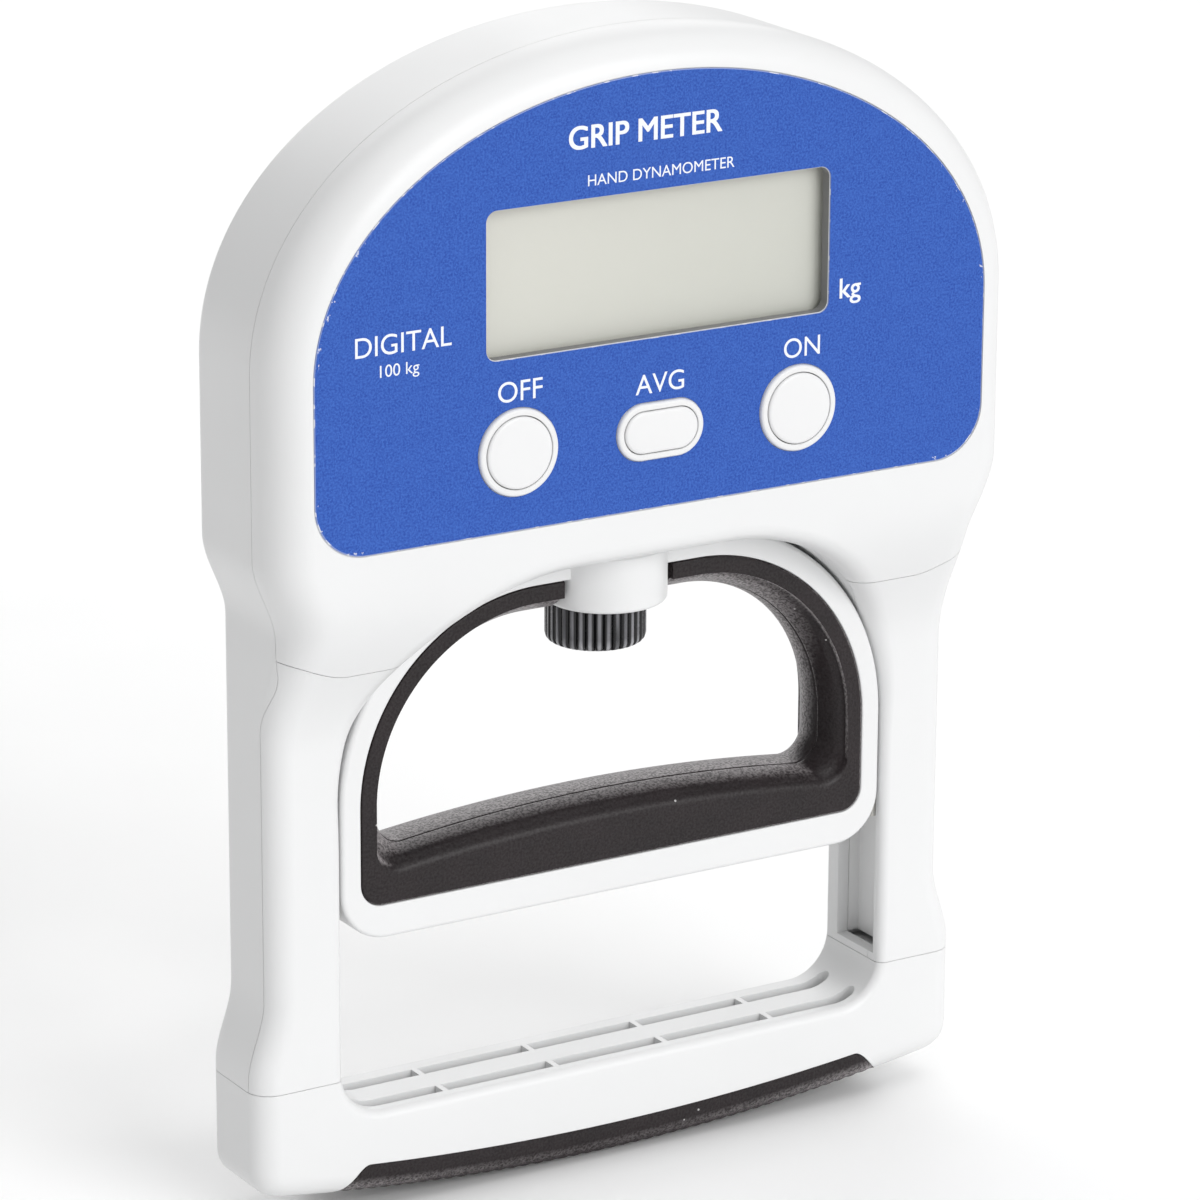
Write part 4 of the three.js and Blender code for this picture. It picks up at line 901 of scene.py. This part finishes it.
def button_collar(outline_at):
    """A raised collar with a rounded rim, from a function that gives its outline for an inset."""
    rim, root = 0.55, HEAD_FRONT + WALL - 0.2
    loops = [placed(outline_at(0), root)]
    for inset, depth in quarter_round(rim, 6):
        loops.append(placed(outline_at(inset), HEAD_FRONT - COLLAR_PROUD + depth))
    return capped("collar", loops)


def button_hole(outline_at):
    """A hole that flares slightly at the mouth."""
    flare = 0.18
    mouth = HEAD_FRONT - COLLAR_PROUD
    return capped("hole", [
        placed(outline_at(0), HEAD_FRONT + WALL + 1),
        placed(outline_at(0), mouth + flare),
        placed(outline_at(-flare * 0.35), mouth + flare * 0.3),
        placed(outline_at(-flare), mouth),
        placed(outline_at(-flare), mouth - 1),
    ])


def front_cover(outside, hollow):
    cover = copy_of(outside, "front_cover_fine")
    keep_inside(cover, above_collar_seam(0))
    cut(cover, copy_of(hollow, "hollow"), behind_parting(-SEAM))
    cut(cover, slab("recess", label_outline(LABEL_GAP), -BEYOND, LABEL_HIGH.y + 0.05))
    cut(cover, slab("window", window_outline(0), -BEYOND, HEAD_FRONT + WALL + 1))
    for x, hole, collar in BUTTONS.values():
        join(cover, button_collar(partial(button_outline, x, collar)))
        cut(cover, button_hole(partial(button_outline, x, hole)))
    return cover


def screw_places():
    """(x, z) of each rear screw's axis, by node name."""
    places = {}
    for number in range(1, 7):
        node = f"rear_screw_{number}"
        low, high = cad_box(node)
        places[node] = ((low.x + high.x) / 2, (low.z + high.z) / 2)
    return places


def rear_housing(outside, hollow):
    shell = copy_of(outside, "rear_housing_fine")
    keep_inside(shell, behind_parting(0), above(FOOT_SEAM_Z + SEAM / 2))
    cut(shell, copy_of(hollow, "hollow"), *groove_cutters())
    shank, sink, depth, lip = (SCREW_HOLE[key] for key in ("shank", "sink", "depth", "lip"))
    for x, z in screw_places().values():
        cut(shell, lathe("sink", [
            (shank, 10), (shank, depth), (sink, depth), (sink, lip), (sink + lip, 0), (sink + lip, -5),
        ], (x, z), axis="y", around=48))
    cut(shell, lathe("sleeve_hole", [
        (SLEEVE_HOLE, OPENING["top"] - 4), (SLEEVE_HOLE, OPENING["top"] + 4),
    ], (0, AXIS_Y)))
    doorway = rounded_box(
        DOOR_LOW.x - DOOR_GAP, DOOR_HIGH.x + DOOR_GAP,
        DOOR_LOW.z - DOOR_GAP, DOOR_HIGH.z + DOOR_GAP, DOOR_CORNER,
    )
    cut(shell, slab("doorway", doorway, -2 * WALL, BEYOND))
    return shell


def leg_cover(outside, hollow):
    cover = copy_of(outside, "leg_cover_fine")
    keep_inside(cover, above(FOOT_SEAM_Z + SEAM / 2))
    keep_inside(cover, block("right", (0, -BEYOND, -2 * BEYOND), (BEYOND, BEYOND, BEYOND)))
    cut(cover, above_collar_seam(-SEAM), copy_of(hollow, "hollow"), behind_parting(-SEAM), *groove_cutters())
    return cover


def pad_region(grow):
    """The space that the foot pad fills, seen from the front, and open below."""
    shoulder, tip = PAD["shoulder"] + grow, PAD["tip"] + grow
    x = np.linspace(-shoulder, shoulder, 80)
    top = np.column_stack([x, PAD["top"] + grow + x * x / (2 * PAD["radius"])])
    bend = np.linspace(shoulder, tip, 14)
    level = top[-1, 1]
    side = np.column_stack([bend, level + (PAD["tip_z"] - level) * ease(bend, shoulder, tip)])
    outline = np.vstack([
        top, side[1:], [[tip, -2 * BEYOND]], [[-tip, -2 * BEYOND]], side[1:][::-1] * [-1, 1],
    ])
    return slab("pad_region", outline, -BEYOND, BEYOND)


def slot_pockets():
    """The slots in the top of the foot bar, each left with cross ribs standing in it."""
    bottom = OPENING["bottom"]
    rib_sides = [x + side * SLOT_RIB_WIDTH / 2 for x in SLOT_RIBS for side in (-1, 1)]
    edges = [-SLOT_HALF] + rib_sides + [SLOT_HALF]
    pockets = []
    for y in SLOT_ROWS:
        for left, right in zip(edges[::2], edges[1::2]):
            plan = stadium(SLOT_HALF, SLOT_WIDTH / 2, y)
            plan[:, 0] = np.clip(plan[:, 0], left, right)
            steps = np.abs(plan - np.roll(plan, 1, axis=0)).sum(axis=1)
            pockets.append(column("pocket", plan[steps > 1e-6], bottom - SLOT_DEPTH, bottom + SLOT_HEADROOM))
    return pockets


def foot_bar(outside):
    bar = copy_of(outside, "foot_bar_fine")
    keep_inside(bar, below(FOOT_SEAM_Z - SEAM / 2))
    cut(bar, pad_region(0.15), *slot_pockets())
    return bar


def foot_pad(spacing):
    pad = body_outside("foot_pad_fine", spacing, foot_ribs=PAD_RIB_DEPTH)
    return keep_inside(pad, pad_region(0))


def build_shells():
    spacing = 1.1 if FINE else 2.5
    outside = body_outside("outside", spacing)
    hollow = body_hollow("hollow_whole")
    cut(hollow, below(FOOT_SEAM_Z - 1))
    cover = front_cover(outside, hollow)
    finish_piece(cover, "front_cover_shell", "housing", "white_shell", "front_cover")
    # Painted shade: the inner walls of the display window are coloured dark grey, where shade falls.
    cover.data.materials.append(MATERIALS["painted_window_shade"])
    reach_x, bottom, top = (WINDOW[key] * MM for key in ("half", "bottom", "top"))
    for polygon in cover.data.polygons:
        x, y, z = polygon.center
        in_window = abs(x) < reach_x + 1e-5 and bottom - 1e-5 < z < top + 1e-5
        if in_window and abs(polygon.normal.y) < 0.5 and y < (HEAD_FRONT + WALL + 0.1) * MM:
            polygon.material_index = 1
    finish_piece(rear_housing(outside, hollow), "rear_shell", "housing", "white_shell", "rear_housing")
    right = leg_cover(outside, hollow)
    left = mirrored(right, "left_leg_shell")
    finish_piece(right, "right_leg_shell", "housing", "white_shell", "leg_cover_right")
    finish_piece(left, "left_leg_shell", "housing", "white_shell", "leg_cover_left")
    finish_piece(foot_bar(outside), "palm_bar", "housing", "white_shell", "foot_bar")
    finish_piece(foot_pad(spacing / 2), "palm_pad", "housing", "black_rubber", "foot_pad")
    bpy.data.objects.remove(outside)
    bpy.data.objects.remove(hollow)


# ---- Label, display and buttons ----

LETTERING = [  # text, left end, baseline, capital height, extra stroke width
    ("GRIP METER", -19.4, 53.1, 4.3, 0.22),
    ("HAND DYNAMOMETER", -15.4, 46.3, 2.1, 0.0),
    ("DIGITAL", -62.2, 21.3, 3.8, 0.0),
    ("100 kg", -57.6, 17.3, 2.3, 0.0),
    ("OFF", -33.6, 9.4, 3.9, 0.0),
    ("AVG", -5.1, 7.0, 3.8, 0.0),
    ("ON", 26.0, 9.5, 3.8, 0.0),
    ("kg", 37.7, 19.2, 3.9, 0.12),
]
INK_THICKNESS = 0.02
CAPITAL_SHARE = 0.729


def front_label():
    """The printed film: a flat face, a thin sloping edge and holes for the window and buttons."""
    edge = 0.16
    face = HEAD_FRONT
    label = capped("label", [
        placed(label_outline(0), LABEL_HIGH.y),
        placed(label_outline(0), face + 0.12),
        placed(label_outline(-edge), face),
        placed(label_outline(-LABEL_WEAR), face),
    ])
    cut(label, slab("window", window_outline(LABEL_GAP), -BEYOND, 0))
    for x, _, collar in BUTTONS.values():
        cut(label, slab("hole", button_outline(x, collar, -LABEL_GAP), -BEYOND, 0))
    finish_piece(label, "printed_label", "housing", "blue_label", "front_label", sharp=15)
    label.data.materials.append(MATERIALS["label_edge"])
    label.data.materials.append(MATERIALS["label_worn"])
    rim = np.array(label_outline(0)) * MM
    for polygon in label.data.polygons:
        x, _, z = polygon.center
        near_rim = np.hypot(rim[:, 0] - x, rim[:, 1] - z).min() < LABEL_WEAR * MM
        if polygon.normal.y > -0.98:
            polygon.material_index = 1
        elif near_rim:
            polygon.material_index = 2


def struck_text(text, left, baseline, height, depth):
    """A mesh of upright text of a given capital height, lying at one depth."""
    curve = bpy.data.curves.new("lettering", "FONT")
    curve.body = text
    curve.size = height / CAPITAL_SHARE * MM
    curve.extrude = INK_THICKNESS / 2 * MM
    obj = in_scene("lettering", curve)
    obj.rotation_euler = (math.pi / 2, 0, 0)
    obj.location = Vector((left, depth, baseline)) * MM
    bpy.context.view_layer.update()
    mesh = bpy.data.meshes.new_from_object(obj.evaluated_get(bpy.context.evaluated_depsgraph_get()))
    mesh.transform(obj.matrix_world)
    bpy.data.objects.remove(obj)
    return mesh


def lettering():
    """The printed words as one piece. Heavier words are struck several times, a little apart."""
    whole = bmesh.new()
    for text, left, baseline, height, weight in LETTERING:
        strikes = [(0, 0), (weight, 0), (0, weight / 2), (weight, weight / 2)] if weight else [(0, 0)]
        for layer, (right, up) in enumerate(strikes):
            depth = HEAD_FRONT - INK_THICKNESS / 2 - layer * INK_THICKNESS / 10
            whole.from_mesh(struck_text(text, left + right, baseline + up, height, depth))
    mesh = bpy.data.meshes.new("label_lettering")
    whole.to_mesh(mesh)
    whole.free()
    mesh.materials.append(MATERIALS["ink"])
    obj = in_scene("label_lettering", mesh)
    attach(obj, "housing")


def display():
    """The blank display and the clear window in front of it."""
    for node, name, look, corner in (
        ("display_glass", "display_cell", "display", 0.4),
        ("display_window", "display_pane", "clear_window", 1.0),
    ):
        low, high = cad_box(node)
        sheet = slab(name, rounded_box(low.x, high.x, low.z, high.z, corner), low.y, high.y)
        finish_piece(sheet, name, "housing", look, node)


def cap_from(name, outline_at, low, high):
    """A button cap: a retaining flange, straight sides, a rounded shoulder and a slightly domed face."""
    flange, shoulder, dome, flat_from = 1.2, 0.6, 0.12, 3.0
    flange_front = HEAD_FRONT + WALL + 0.05
    loops = [
        placed(outline_at(-flange), high.y),
        placed(outline_at(-flange), flange_front),
        placed(outline_at(0), flange_front),
    ]
    for inset, depth in quarter_round(shoulder, 8):
        loops.append(placed(outline_at(inset), low.y + blend(dome, shoulder, depth / shoulder)))
    for inset in (1.4, 2.2, flat_from):
        loops.append(placed(outline_at(inset), low.y + dome * (1 - inset / flat_from) ** 2))
    return capped(name, loops)


def buttons():
    for key, (x, hole, _) in BUTTONS.items():
        node = key + "_button"
        piece = cap_from(node, lambda inset: button_outline(x, hole, CAP_GAP + inset), *cad_box(node))
        finish_piece(piece, node + "_cap", key + "_cap", "white_cap", node)


# ---- Handle and knob ----


def arch_loop(shape, grow, y, crown=0.0, fine=1):
    """An arch outline grown outwards by an amount, at one depth."""
    outline = arch(
        shape["half"] + grow, shape["top"] + grow, shape["top_radius"] + grow,
        shape["bottom"] - grow, max(shape["bottom_radius"] + grow, 0.6), crown, fine,
    )
    return placed(outline, y)


def boss_solid():
    """The boss under the top of the handle: a D plan with a rounded lower rim."""
    radius, centre_y, bottom = BOSS["radius"], BOSS["y"], BOSS["bottom"]
    rim, back_corner, top_slope, top_inset = 0.9, 2.0, 0.8, 0.6

    def plan(inset):
        r = radius - inset
        front = arc((0, centre_y), r, 180, 360, 72)
        back = HANDLE_BACK - inset
        right = arc((r - back_corner, back - back_corner), back_corner, 0, 90, 10)
        left = arc((-r + back_corner, back - back_corner), back_corner, 90, 180, 10)
        return np.vstack([front, right, left])

    loops = [level_at(plan(inset), bottom + height) for inset, height in quarter_round(rim, 7)[::-1]]
    loops.append(level_at(plan(0), HANDLE["top"] - top_slope))
    loops.append(level_at(plan(top_inset), HANDLE["top"]))
    return capped("boss", loops)


def handle_frame():
    """The white hoop with its boss, bored for the spindle and pocketed for its clip."""
    outer_edge, inner_edge = quarter_round(0.9, 6), quarter_round(0.35, 4)
    loops = [arch_loop(HANDLE, -inset, HANDLE_FRONT + depth) for inset, depth in outer_edge]
    loops += [arch_loop(LINER, inset, HANDLE_FRONT + depth) for inset, depth in inner_edge[::-1]]
    loops += [arch_loop(LINER, inset, HANDLE_BACK - depth) for inset, depth in inner_edge]
    loops += [arch_loop(HANDLE, -inset, HANDLE_BACK - depth) for inset, depth in outer_edge[::-1]]
    frame_ring = ring("handle", loops)
    join(frame_ring, boss_solid())
    spindle_radius = (SPINDLE_HIGH.x - SPINDLE_LOW.x) / 2
    clip_low, clip_high = cad_box("spindle_clip")
    pocket_floor = clip_low.z - 0.4
    pocket_radius = clip_high.x + 0.5
    bore = spindle_radius + 0.06
    cut(frame_ring, lathe("bore", [
        (bore, BOSS["bottom"] - 5), (bore, pocket_floor), (pocket_radius, pocket_floor), (pocket_radius, 0),
    ], (0, AXIS_Y)))
    finish_piece(frame_ring, "handle_hoop", "handle", "white_shell", "handle_frame")


def liner_loop(depth, mid_y, reach, fine):
    """One loop of the liner's inner surface; depth runs from -1 at the front rim to 1 at the back."""
    dip_deep, dip_at, dip_wide = 0.45, 0.86, 0.09
    line_deep, line_wide = 0.16, 0.014
    swell = (1 - depth ** 2) ** 1.5
    dip = dip_deep * math.exp(-((abs(depth) - dip_at) / dip_wide) ** 2)
    seam = -line_deep * math.exp(-((depth - LINER_MOULD_LINE) / line_wide) ** 2)
    amount = LINER_RIM + LINER_BULGE * swell - dip + seam
    round_over = math.sqrt(1 - depth ** 2)
    bottom = blend(GRIP["edge"], GRIP["crown"] - GRIP["arch"], round_over) - 0.5 * dip + seam
    outline = arch(
        LINER["half"] - amount, LINER["top"] - amount, LINER["top_radius"] - amount,
        bottom, LINER_CORNER, GRIP["arch"], fine,
    )
    return placed(outline, mid_y + reach * depth)


def handle_liner():
    fine = 2 if FINE else 1
    front, back = HANDLE_FRONT, HANDLE_BACK
    mid_y, reach = (front + back) / 2, (back - front) / 2
    outer_gap, rim = 0.1, quarter_round(0.4, 4)
    angles = np.linspace(0, math.pi, 64 if FINE else 32)
    near_line = LINER_MOULD_LINE + np.array([-0.04, -0.02, -0.01, 0.0, 0.01, 0.02, 0.04])
    depths = np.sort(np.concatenate([-np.cos(angles), near_line]))
    loops = [arch_loop(LINER, -outer_gap - inset, front + depth, fine=fine) for inset, depth in rim]
    loops += [liner_loop(depth, mid_y, reach, fine) for depth in depths]
    loops += [arch_loop(LINER, -outer_gap - inset, back - depth, fine=fine) for inset, depth in rim[::-1]]
    liner = ring("liner", loops)
    gap = BOSS["radius"] + 0.15
    cut(liner, block("gap", (-gap, -BEYOND, BOSS["bottom"] - 5), (gap, BEYOND, 0)))
    finish_piece(liner, "handle_grip", "handle", "black_rubber", "handle_liner")


def adjusting_knob():
    """A knob with narrow grooves round its side and a rounded lower rim."""
    radius = (KNOB_HIGH.x - KNOB_LOW.x) / 2
    per_rib, depth = 14, 0.6
    angles = np.linspace(0, 2 * math.pi, KNOB_RIBS * per_rib, endpoint=False)
    phase = (angles * KNOB_RIBS / (2 * math.pi) + 0.5) % 1
    flank = 0.97 * (2 * phase - 1)
    groove = 1 - np.sqrt(1 - flank ** 2)

    def level(inset, z, share):
        r = radius - inset - share * depth * groove
        return np.column_stack([r * np.cos(angles), AXIS_Y + r * np.sin(angles), np.full(len(angles), z)])

    rim, hollow = 1.5, 5.2
    loops = [level(radius - 0.4, KNOB_LOW.z + 0.5, 0), level(radius - hollow, KNOB_LOW.z + 0.5, 0),
             level(radius - hollow - 0.4, KNOB_LOW.z, 0), level(rim, KNOB_LOW.z, 0)]
    for inset, height in quarter_round(rim, 9)[-2::-1]:
        loops.append(level(inset, KNOB_LOW.z + height, min(1.0, 1.3 * (1 - inset / rim))))
    loops.append(level(0, KNOB_HIGH.z - 0.5, 1))
    loops.append(level(0.3, KNOB_HIGH.z, 1))
    knob = capped("knob", loops)
    bore = (SPINDLE_HIGH.x - SPINDLE_LOW.x) / 2 + 0.05
    cut(knob, lathe("bore", [(bore, SPINDLE_LOW.z - 0.05), (bore, 0)], (0, AXIS_Y)))
    finish_piece(knob, "ribbed_knob", "knob", "knob", "adjusting_knob", sharp=40)


def threaded_spindle():
    """The spindle, threaded above the handle's boss and plain where it turns in it."""
    radius = (SPINDLE_HIGH.x - SPINDLE_LOW.x) / 2
    around = 48
    angles = np.linspace(0, 2 * math.pi, around, endpoint=False)
    thread_start = cad_box("spindle_clip")[1].z + 1.0
    steps_per_pitch = 10 if FINE else 5
    count = int((SPINDLE_HIGH.z - thread_start) / THREAD_PITCH * steps_per_pitch)
    loops = []

    def level(r, z):
        loops.append(np.column_stack([r * np.cos(angles), AXIS_Y + r * np.sin(angles), np.full(around, z)]))

    level(np.full(around, radius - 0.5), SPINDLE_LOW.z)
    level(np.full(around, radius), SPINDLE_LOW.z + 0.5)
    level(np.full(around, radius), thread_start)
    for step in range(1, count):
        z = thread_start + (SPINDLE_HIGH.z - thread_start) * step / count
        turn = (z / THREAD_PITCH - angles / (2 * math.pi)) % 1
        crest = np.abs(2 * turn - 1)
        ends = min(1.0, (z - thread_start) / 1.2)
        top = min(1.0, (SPINDLE_HIGH.z - z) / 0.8)
        level(radius - THREAD_DEPTH * ends * crest - 0.6 * (1 - top), z)
    level(np.full(around, radius - 0.9), SPINDLE_HIGH.z)
    spindle = capped("spindle_fine", loops)
    finish_piece(spindle, "threaded_spindle", "knob", "steel", "spindle", sharp=60)


# ---- Back, power and measuring works ----


def rear_screws():
    for node, (x, z) in screw_places().items():
        low, high = cad_box(node)
        head, shank = (high.x - low.x) / 2, 1.5
        head_front, head_back = 1.9, -high.y
        section = [(shank - 0.4, -low.y), (shank, -low.y - 0.5), (shank, head_front), (head, head_front),
                   (head, head_back + 0.5)]
        for inset, depth in quarter_round(1, 6)[1:-1]:
            section.append((head - 0.9 * inset, head_back + 0.5 * depth))
        section.append((head - 1.1, head_back))
        screw = lathe("screw", section, (x, z), axis="y", around=48)
        arm, half, floor_y = 1.55, 0.32, high.y - 0.75
        for across, up in ((arm, half), (half, arm)):
            cut(screw, block("cross", (x - across, floor_y, z - up), (x + across, BEYOND, z + up)))
        finish_piece(screw, node + "_fine", "housing", "steel", node)


def battery_door():
    """The door with its eased edge and three finger grooves near the top."""
    edge = 0.4
    left, right, bottom, top = DOOR_LOW.x, DOOR_HIGH.x, DOOR_LOW.z, DOOR_HIGH.z

    def outline(inset):
        return rounded_box(left + inset, right - inset, bottom + inset, top - inset, DOOR_CORNER - inset)

    door = capped("door", [
        placed(outline(0), DOOR_LOW.y),
        placed(outline(0), DOOR_HIGH.y - edge),
        placed(outline(edge * 0.3), DOOR_HIGH.y - edge * 0.3),
        placed(outline(edge), DOOR_HIGH.y),
    ])
    half, half_width, deep, pitch, from_top = 8.0, 0.42, 0.45, 1.8, 3.6
    for k in range(3):
        z = top - from_top - pitch * k
        groove = column("grip", stadium(half, half_width), -deep, 2.0)
        groove.data.transform(Matrix.Rotation(-math.pi / 2, 4, "X"))
        groove.data.transform(Matrix.Translation(Vector((0, 0, z)) * MM))
        cut(door, groove)
    finish_piece(door, "battery_cover", "door", "white_shell", "battery_door")


def dry_cells():
    """Each cell lies across the tray, wrapped in its sleeve, with a bright nub and a bright flat end."""
    for node in ("battery_upper", "battery_lower"):
        low, high = cad_box(node)
        radius = (high.z - low.z) / 2
        y, z = (low.y + high.y) / 2, (low.z + high.z) / 2
        nub_right = high.x > -low.x
        can_low, can_high = -21.65, 21.65
        nub = 1.2
        section = [(radius - 1.0, can_low), (radius - 0.25, can_low + 0.1), (radius, can_low + 0.6)]
        section += [(radius, can_high - 1.0), (radius - 0.5, can_high - 0.1), (radius - 1.2, can_high)]
        section += [(1.9, can_high), (1.9, can_high + nub - 0.3), (1.6, can_high + nub)]
        cell = lathe("cell", section, (0, 0), around=64)
        turn = Matrix.Rotation(math.pi / 2 if nub_right else -math.pi / 2, 4, "Y")
        cell.data.transform(turn)
        cell.data.transform(Matrix.Translation(Vector((0, y, z)) * MM))
        finish_piece(cell, node + "_fine", "housing", "cell_wrap", node)
        cell.data.materials.append(MATERIALS["nickel"])
        for polygon in cell.data.polygons:
            if abs(polygon.center.x) > (can_high - 0.3) * MM:
                polygon.material_index = 1


def measuring_springs():
    """Round-wire coils."""
    for node in ("measuring_spring_left", "measuring_spring_right"):
        low, high = cad_box(node)
        x = (low.x + high.x) / 2
        wire = 1.1
        coil = (high.x - low.x) / 2 - wire
        turns = 7.5
        steps, around = 360, 14
        t = np.linspace(0, 1, steps)
        angle = 2 * math.pi * turns * t
        rise = t - 0.4 * np.sin(2 * math.pi * t) / (2 * math.pi)
        bottom, top = low.z + wire, high.z - wire
        middle = np.column_stack([
            x + coil * np.cos(angle), AXIS_Y + coil * np.sin(angle), bottom + (top - bottom) * rise,
        ])
        outwards = np.column_stack([np.cos(angle), np.sin(angle), np.zeros(steps)])
        upwards = np.array([0, 0, 1.0])
        loops = []
        for point, out in zip(middle, outwards):
            section = np.linspace(0, 2 * math.pi, around, endpoint=False)[:, None]
            loops.append(point + wire * (np.cos(section) * out + np.sin(section) * upwards))
        spring = capped("spring", loops)
        finish_piece(spring, node + "_wire", "housing", "spring_steel", node)
        spring.modifiers.clear()
        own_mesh(spring)


def pull_sleeve():
    low, high = cad_box("pull_sleeve")
    flange = (high.x - low.x) / 2
    radius, flange_z, chamfer = 5.4, high.z - 3.9, 0.4
    sleeve = lathe("sleeve", [
        (radius - chamfer, low.z), (radius, low.z + chamfer), (radius, flange_z),
        (flange - chamfer, flange_z), (flange, flange_z + chamfer), (flange, high.z - chamfer),
        (flange - chamfer, high.z),
    ], (0, AXIS_Y))
    bore = (SPINDLE_HIGH.x - SPINDLE_LOW.x) / 2 + 0.06
    cut(sleeve, lathe("bore", [
        (bore + 0.4, low.z - 1), (bore + 0.4, low.z), (bore, low.z + 0.5), (bore, high.z + 1),
    ], (0, AXIS_Y)))
    finish_piece(sleeve, "sleeve_fine", "pull_yoke", "brass", "pull_sleeve")


def paint_the_rest():
    """Materials for the CAD nodes that show as they are."""
    looks = {
        "rail": ["guide_rail_right", "guide_rail_left"],
        "acetal": ["guide_shoe_right", "guide_shoe_left", "rack", "sensor_pinion"],
        "black_plastic": ["display_holder", "off_switch", "average_switch", "on_switch", "battery_tray",
                          "rotary_sensor", "sensor_cable", "thrust_washer"],
        "board": ["main_board"],
        "nickel": ["contact_link", "contact_upper", "contact_lower"],
        "wire": ["battery_cable"],
        "steel": ["spring_base", "crosshead"],
        "spring_steel": ["spindle_clip"],
    }
    for look, nodes in looks.items():
        for node in nodes:
            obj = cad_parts[node]
            obj.data.materials.clear()
            obj.data.materials.append(MATERIALS[look])


# ---- Studio ----

CAMERA_AZIMUTH = -31.206
CAMERA_ELEVATION = 17.493
CAMERA_ROLL = 0.306
CAMERA_DISTANCE = 1010.6
CAMERA_TARGET = Vector((-12.28, -31.5, -29.99))
CAMERA_LENS = 169.22
CAMERA_SENSOR = 36


def backwards(azimuth, elevation):
    """Unit vector from the target to a camera."""
    a, e = math.radians(azimuth), math.radians(elevation)
    return Vector((math.sin(a) * math.cos(e), -math.cos(a) * math.cos(e), math.sin(e)))


def camera():
    data = bpy.data.cameras.new("camera")
    data.lens = CAMERA_LENS
    data.sensor_width = CAMERA_SENSOR
    data.clip_start = 0.05
    obj = in_scene("camera", data)
    away = backwards(CAMERA_AZIMUTH, CAMERA_ELEVATION)
    eye = Matrix.Translation((CAMERA_TARGET + away * CAMERA_DISTANCE) * MM)
    aim = away.to_track_quat("Z", "Y").to_matrix().to_4x4()
    obj.matrix_world = eye @ aim @ Matrix.Rotation(math.radians(CAMERA_ROLL), 4, "Z")
    bpy.context.scene.camera = obj


def soft_sun(name, azimuth, elevation, strength, spread):
    """A distant soft box: it lights the whole scene evenly and its shadows have wide soft edges."""
    data = bpy.data.lights.new(name, "SUN")
    data.energy = strength
    data.angle = math.radians(spread)
    obj = in_scene(name, data)
    obj.matrix_world = backwards(azimuth, elevation).to_track_quat("Z", "Y").to_matrix().to_4x4()


def floor():
    """A pale plane just under the foot pad."""
    half, level = 4000.0, PAD_LOW.z - 0.2
    corners = [(-half, -half, level), (half, -half, level), (half, half, level), (-half, half, level)]
    plane = new_object("studio_floor", corners, [(0, 1, 2, 3)])
    look = Look("floor", (0.95, 0.95, 0.95), 0.6)
    look.uneven_gloss(60, 3, 0.55, 0.68)
    look.bump(look.noise(3, 3), 0.03)
    plane.data.materials.append(look.material)


def studio():
    world = bpy.data.worlds.new("studio")
    bpy.context.scene.world = world
    world.use_nodes = True
    background = world.node_tree.nodes["Background"]
    background.inputs["Color"].default_value = (1, 1, 1, 1)
    background.inputs["Strength"].default_value = 0.47
    soft_sun("key", 14, 24, 1.6, 40)
    soft_sun("top", 40, 80, 0.8, 60)
    soft_sun("back", 160, 30, 0.75, 50)
    bpy.context.scene.view_settings.view_transform = "Standard"
    floor()


# ---- Build ----

build_shells()
front_label()
lettering()
display()
buttons()
handle_frame()
handle_liner()
adjusting_knob()
threaded_spindle()
pull_sleeve()
rear_screws()
battery_door()
dry_cells()
measuring_springs()
paint_the_rest()
studio()
camera()
